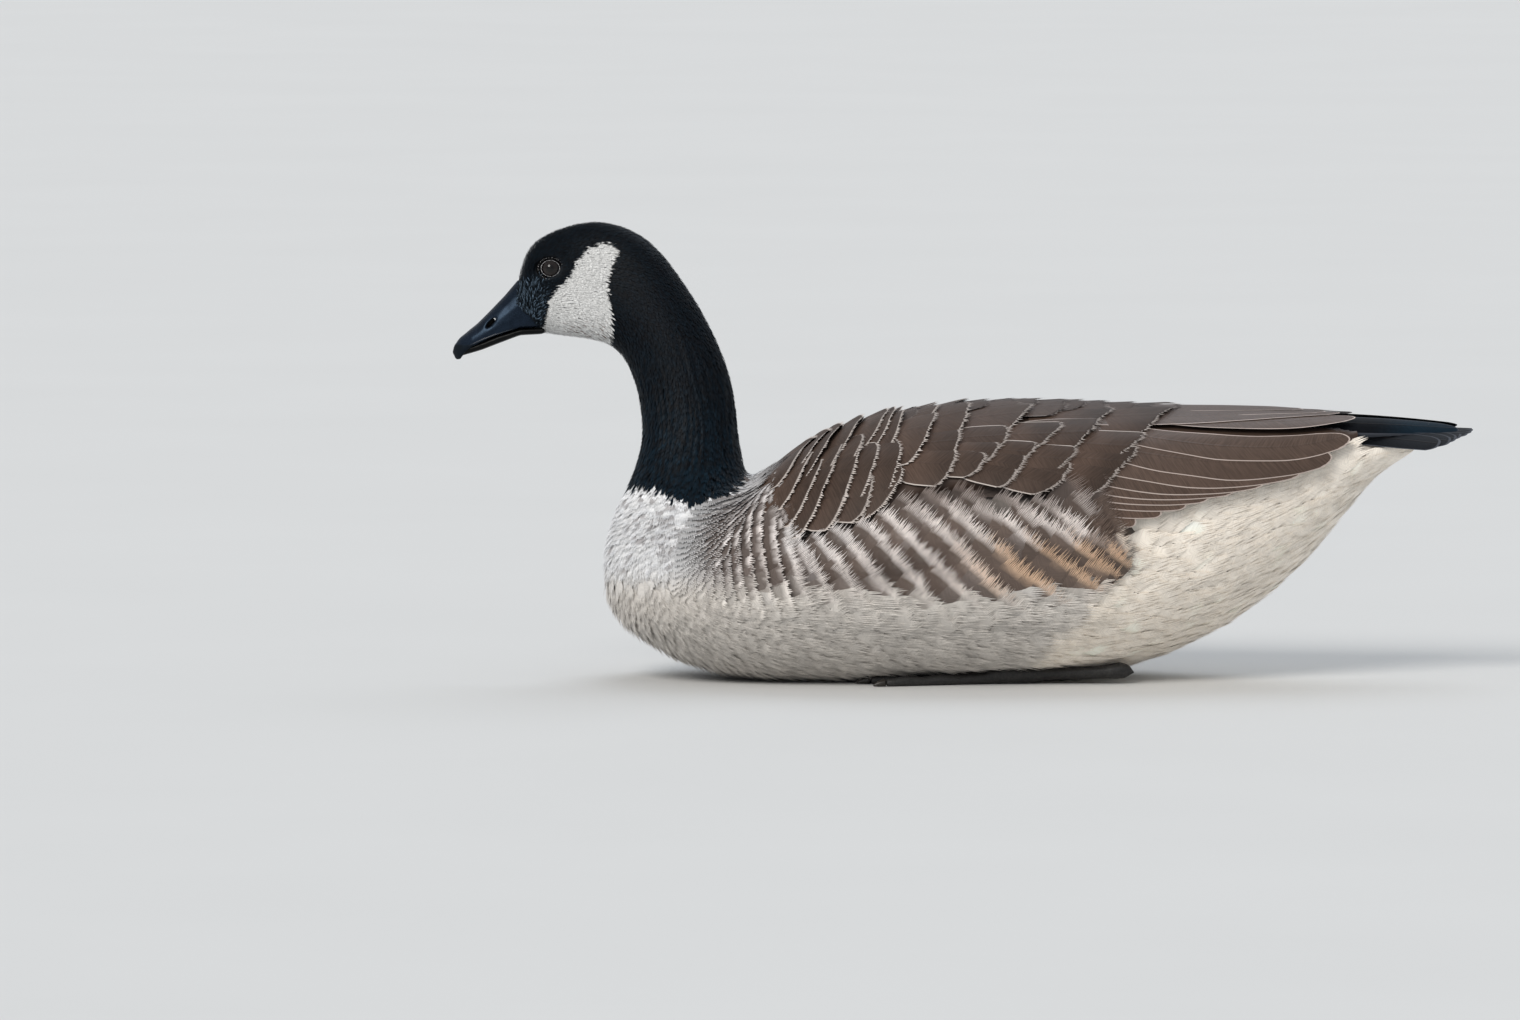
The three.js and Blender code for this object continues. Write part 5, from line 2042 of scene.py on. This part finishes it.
@dataclass
class Eyes:
    """Eyeballs with dark irises, and their ringed lids.

    The lid is a section to spin, by millimetres off the eye's axis and along it. Rings of dots are given by
    the same two measures, their count and the size of a dot.
    """

    radius: float = 0.0076
    axis: Spot = (-0.10, -0.99, 0.07)
    lid: tuple[tuple[float, float], ...] = (
        (5.55, 4.3), (5.45, 5.35), (5.65, 5.80), (6.10, 5.75), (6.60, 5.25), (7.10, 5.15), (7.60, 5.30),
        (8.10, 4.95), (8.90, 3.4), (9.40, 1.8),
    )
    dots: tuple[tuple[float, float, int, float], ...] = ((5.80, 5.82, 54, 0.19), (7.75, 5.30, 30, 0.15))
    oval: tuple[float, float, float, float] = (1.06, 1.0, 0.91, 1.0)

    def build(self, ball: Material, lid: Material, dot: Material) -> None:
        """Makes both eyes.

        Args:
            ball: material of the eyeballs.
            lid: material of the lids.
            dot: material of the pale dots on the lids.
        """
        for side, sign in SIDES.items():
            low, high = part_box(f"eye_{side}")
            centre = Matrix.Translation((low + high) / 2)
            axis = Vector((self.axis[0], self.axis[1] * sign, self.axis[2])).normalized()
            turn = axis.to_track_quat("Z", "Y").to_matrix().to_4x4()
            place = centre @ Matrix.Diagonal(self.oval) @ turn
            from_bmesh(f"eyeball_{side}", self.ball(centre @ turn), ball, [f"eye_{side}"])
            from_bmesh(f"eyelid_{side}", self.ring(place), lid)
            from_bmesh(f"eyelid_dots_{side}", self.beads(place), dot)

    def ball(self, place: Matrix) -> BMesh:
        """An eyeball with its cornea.

        Args:
            place: where it sits and how it is turned.

        Returns:
            The mesh.
        """
        bm = bmesh.new()
        bmesh.ops.create_uvsphere(bm, u_segments=56, v_segments=32, radius=self.radius)
        for vert in bm.verts:
            if vert.co.z > 0:
                off = math.hypot(vert.co.x, vert.co.y)
                vert.co.z += 0.0005 * max(0.0, 1 - (off / 0.0045) ** 2)
        bmesh.ops.transform(bm, matrix=place, verts=bm.verts[:])
        return bm

    def ring(self, place: Matrix) -> BMesh:
        """A lid, spun from its section.

        Args:
            place: where it sits and how it is turned.

        Returns:
            The mesh.
        """
        bm = bmesh.new()
        spots = [bmesh.ops.create_vert(bm, co=(r / MM, 0, h / MM))["vert"][0] for r, h in self.lid]
        edges = []
        for pair in zip(spots, spots[1:]):
            edges += bmesh.ops.contextual_create(bm, geom=pair)["edges"]
        bmesh.ops.spin(
            bm, geom=spots + edges, cent=(0, 0, 0), axis=(0, 0, 1), angle=2 * math.pi, steps=72,
            use_merge=True, use_duplicate=False,
        )
        bmesh.ops.transform(bm, matrix=place, verts=bm.verts[:])
        return bm

    def beads(self, place: Matrix) -> BMesh:
        """The uneven dots of a lid.

        Args:
            place: where the lid sits and how it is turned.

        Returns:
            The mesh.
        """
        bm = bmesh.new()
        for r, h, count, size in self.dots:
            for k in range(count):
                turned = 2 * math.pi * (k + 0.25 * math.sin(5.0 * k)) / count
                grown = 1 + 0.25 * math.sin(3.7 * k)
                spot = Matrix.Translation(Vector((math.cos(turned) * r, math.sin(turned) * r, h)) / MM)
                bmesh.ops.create_icosphere(bm, subdivisions=1, radius=size * grown / MM, matrix=place @ spot)
        return bm

    def material(self) -> Material:
        """Makes the wet dark eye, with its iris round the black pupil.

        Returns:
            The material.
        """
        kit = MaterialKit("goose_eye")
        low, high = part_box("eye_left")
        centre = (low + high) / 2 + Vector(self.axis).normalized() * 0.0070
        parts = kit.parts(kit.objects())
        off_x = kit.math("SUBTRACT", parts[0], centre.x)
        off_z = kit.math("SUBTRACT", parts[2], centre.z)
        square = kit.math("ADD", kit.math("MULTIPLY", off_x, off_x), kit.math("MULTIPLY", off_z, off_z))
        away = kit.math("SQRT", square)
        rays = kit.noise(kit.objects(), 1400.0, 2.0)
        iris = kit.mix(kit.ramp(rays, 0.35, 0.65), (0.005, 0.0033, 0.0030, 1), (0.013, 0.0085, 0.0070, 1))
        colour = kit.mix(kit.ramp(away, 0.0023, 0.0027), (0.0012, 0.0010, 0.0010, 1), iris)
        colour = kit.mix(kit.ramp(away, 0.0046, 0.0054), colour, (0.003, 0.002, 0.002, 1))
        return kit.finish({"Base Color": colour, "Roughness": 0.05, "Specular IOR Level": 0.35})


@dataclass
class Feet:
    """Webbed feet folded under the flanks."""

    def build(self, skin: Material, claw: Material) -> None:
        """Makes both feet with their claws.

        Args:
            skin: material of the feet.
            claw: material of the claws.
        """
        for side, sign in SIDES.items():
            def slim(points: Array) -> Array:
                """Points of the foot, narrowed at the toes and rounded off at their end."""
                x = points[:, 0]
                end = np.sqrt(np.clip(1 - np.clip((x - 0.098) / 0.0145, 0, 1) ** 2, 0, 1))
                size = (1 - 0.30 * smoothstep(0.038, 0.060, x)) * end
                middle = np.array([-sign * 0.0465, 0.0075])
                points[:, 1:] = middle + (points[:, 1:] - middle) * size[:, None]
                return points

            nodes = (f"leg_{side}_shank", f"leg_{side}_foot")
            smooth_copy(f"webbed_foot_{side}", nodes, skin, 0.0012, 4, 0.0002, carve=slim)
            for toe in ("inner", "middle", "outer", "hind"):
                node = f"leg_{side}_claw_{toe}"
                smooth_copy(f"claw_{toe}_{side}", (node,), claw, 0.0005, 3, 0.0001)


@dataclass
class Studio:
    """Camera, floor and lights."""

    sensor: float = 36.0
    floor_size: float = 60.0
    target: Spot = (-0.05, 0, 0.13)

    def build(self) -> None:
        """Makes the studio."""
        scene = bpy.context.scene
        camera = bpy.data.cameras.new("camera")
        camera.sensor_width = self.sensor
        camera.lens = self.sensor * PICTURE.distance / (PICTURE.width * PICTURE.pixel)
        camera.clip_end = 200.0
        holder = bpy.data.objects.new("camera", camera)
        back = Vector((0, -math.cos(PICTURE.rise), math.sin(PICTURE.rise)))
        holder.location = PICTURE.aim + back * PICTURE.distance
        holder.rotation_euler = (-back).to_track_quat("-Z", "Y").to_euler()
        scene.collection.objects.link(holder)
        scene.camera = holder
        self.floor()
        self.light("key", (-2.0, -3.2, 3.0), 0.5, 2.1, (1.0, 0.97, 0.93))
        self.light("rim", (0.6, 2.2, 3.4), 0.7, 0.9, (0.84, 0.91, 1.0))
        world = bpy.data.worlds.new("studio")
        world.use_nodes = True
        sky = world.node_tree.nodes["Background"]
        sky.inputs["Color"].default_value = (0.90, 0.93, 0.97, 1)
        sky.inputs["Strength"].default_value = 0.55
        scene.world = world
        scene.view_settings.view_transform = "Standard"

    def floor(self) -> None:
        """The pale floor."""
        bm = bmesh.new()
        bmesh.ops.create_grid(bm, x_segments=4, y_segments=4, size=self.floor_size / 2)
        kit = MaterialKit("floor")
        noise = kit.noise(kit.objects(), 3.0, 4.0)
        colour = kit.mix(noise, (0.60, 0.60, 0.59, 1), (0.63, 0.63, 0.62, 1))
        plane = bpy.data.objects.new("floor", mesh_from(bm, "floor"))
        plane.data.materials.append(kit.finish({"Base Color": colour, "Roughness": 0.8}))
        bpy.context.scene.collection.objects.link(plane)

    def light(self, name: str, place: Spot, spread: float, power: float, colour: Colour) -> None:
        """Adds a wide far light that shines from a place towards the goose.

        Args:
            name: its name.
            place: where it hangs.
            spread: angle that it fills, in radians.
            power: its strength.
            colour: its colour.
        """
        lamp = bpy.data.lights.new(name, "SUN")
        lamp.angle = spread
        lamp.energy = power
        lamp.color = colour
        holder = bpy.data.objects.new(name, lamp)
        holder.location = place
        holder.rotation_euler = (Vector(self.target) - holder.location).to_track_quat("-Z", "Y").to_euler()
        bpy.context.scene.collection.objects.link(holder)


def wing_heights(surface: SurfaceMap) -> tuple[Array, Array]:
    """How far the folded wings stand out from the body.

    Args:
        surface: map of the body.

    Returns:
        Heights over the whole grid, carried on past the wings' edges, and a mask of what the wings cover.
    """
    def soften(grid: Array, times: int) -> Array:
        """The grid, eased a number of times."""
        for _ in range(times):
            grid = SurfaceMap.soften(grid)
        return grid

    reach = 0.045
    names = [f"wing_left_{part}" for part in ("scapulars", "coverts", "secondaries", "tertials")]
    tree = tree_of(joined(names, 0.0))
    first = surface.points.shape[1] // 2
    half = np.zeros((surface.points.shape[0], surface.points.shape[1] - first))
    for row, spoke in np.ndindex(half.shape):
        point = Vector(surface.points[row, first + spoke])
        normal = Vector(surface.normals[row, first + spoke])
        hit = tree.ray_cast(point + normal * reach, -normal, reach * 1.05)
        if hit[0] is not None:
            half[row, spoke] = max(reach - hit[3], 0.0)
    whole = np.concatenate([half[:, :0:-1], half], axis=1)
    mask = (whole > 1e-4).astype(float)
    total, weight = soften(whole * mask, 60), soften(mask, 60)
    heights = np.where(weight > 0.02, total / np.maximum(weight, 1e-4), 0.002)
    return soften(heights, 6), soften(mask, 4)


PLUMAGES = (
    Plumage("velvet_plumage", sheen_tint=(0.35, 0.65, 1.0), specular=0.09, streaks=0.25),
    Plumage("soft_plumage", roughness=0.75, sheen=0.08, streaks=0.10, bump=0.18, mottle=0.05),
    Plumage(
        "brown_plumage", sheen=0.0, specular=0.12, fringe=(0.54, 0.48, 0.44), fringe_width=3.3,
        fringe_fray=1.5, shaft=0.10, mottle=0.3,
    ),
    Plumage(
        "mantle_plumage", specular=0.14, fringe=(0.30, 0.26, 0.24), fringe_width=2.4, shaft=0.10, mottle=0.3
    ),
    Plumage(
        "flight_plumage", roughness=0.45, streaks=0.24, fringe=(0.46, 0.38, 0.34), fringe_width=1.5,
        fringe_fray=0.6, shaft=0.15, mottle=0.3,
    ),
    # the pale bluish edge of the black quills is a painted sheen along each edge
    Plumage(
        "quill_plumage", sheen=0.0, specular=0.05, fringe=(0.050, 0.055, 0.066), fringe_width=1.6,
        fringe_fray=0.5, shaft=0.3,
    ),
)
HORNS = (
    # bluish upper half: the blue is a painted sky reflection, which stops below the height dark_below
    Horn(
        "bill_horn", (0.0055, 0.0085, 0.0145), 0.25, bump=0.12, specular=0.22,
        specular_tint=(0.45, 0.68, 1.0), dark_below=0.2205,
    ),
    Horn("dark_horn", (0.0026, 0.0028, 0.0030), 0.32, bump=0.10, specular=0.10),
    # lighter horn of the bill's edge: a painted highlight
    Horn("rim_horn", (0.020, 0.026, 0.036), 0.22, bump=0.05, specular=0.5),
    Horn("foot_skin", (0.020, 0.019, 0.018), 0.5, scales=0.6),
    Horn("claw_horn", (0.018, 0.015, 0.012), 0.4),
    Horn("eyelid_skin", (0.0016, 0.0017, 0.0020), 0.7, specular=0.04),
    Horn("eyelid_dots", (0.72, 0.71, 0.71), 0.6, specular=0.15),
)


def build_goose() -> None:
    """Builds every sub-assembly in order."""
    rng = np.random.default_rng(SEED)
    finishes = Finishes()
    velvet, soft, brown, mantle, flight, quill = (plumage.material(finishes) for plumage in PLUMAGES)
    horn, dark_horn, rim_horn, foot, claw, lid, dots = (kind.material() for kind in HORNS)
    skin = Skin()
    surface = SurfaceMap.cast(tree_of(skin.outer("bill_upper", "bill_lower")))
    markings = Markings(rng)
    skin.build(skin.outer(), surface, markings, soft)
    heights, cover = wing_heights(surface)
    body = BodyCoat(surface, cover, markings, rng)
    body.velvet_coat(velvet)
    body.body(soft)
    over = surface.raised(heights)
    wings = WingCoat(over, cover, rng)
    for side in SIDES:
        wings.lay_side(side, brown, flight, quill)
    wings.lay_mantle(mantle)
    body.flanks(over, soft)
    TailCoat(surface, rng).build(quill)
    Bill().build(horn, dark_horn, rim_horn)
    eyes = Eyes()
    eyes.build(eyes.material(), lid, dots)
    Feet().build(foot, claw)
    Studio().build()


if __name__ == "__main__":
    logging.basicConfig(level=logging.INFO, format="%(name)s: %(message)s", force=True)
    build_goose()
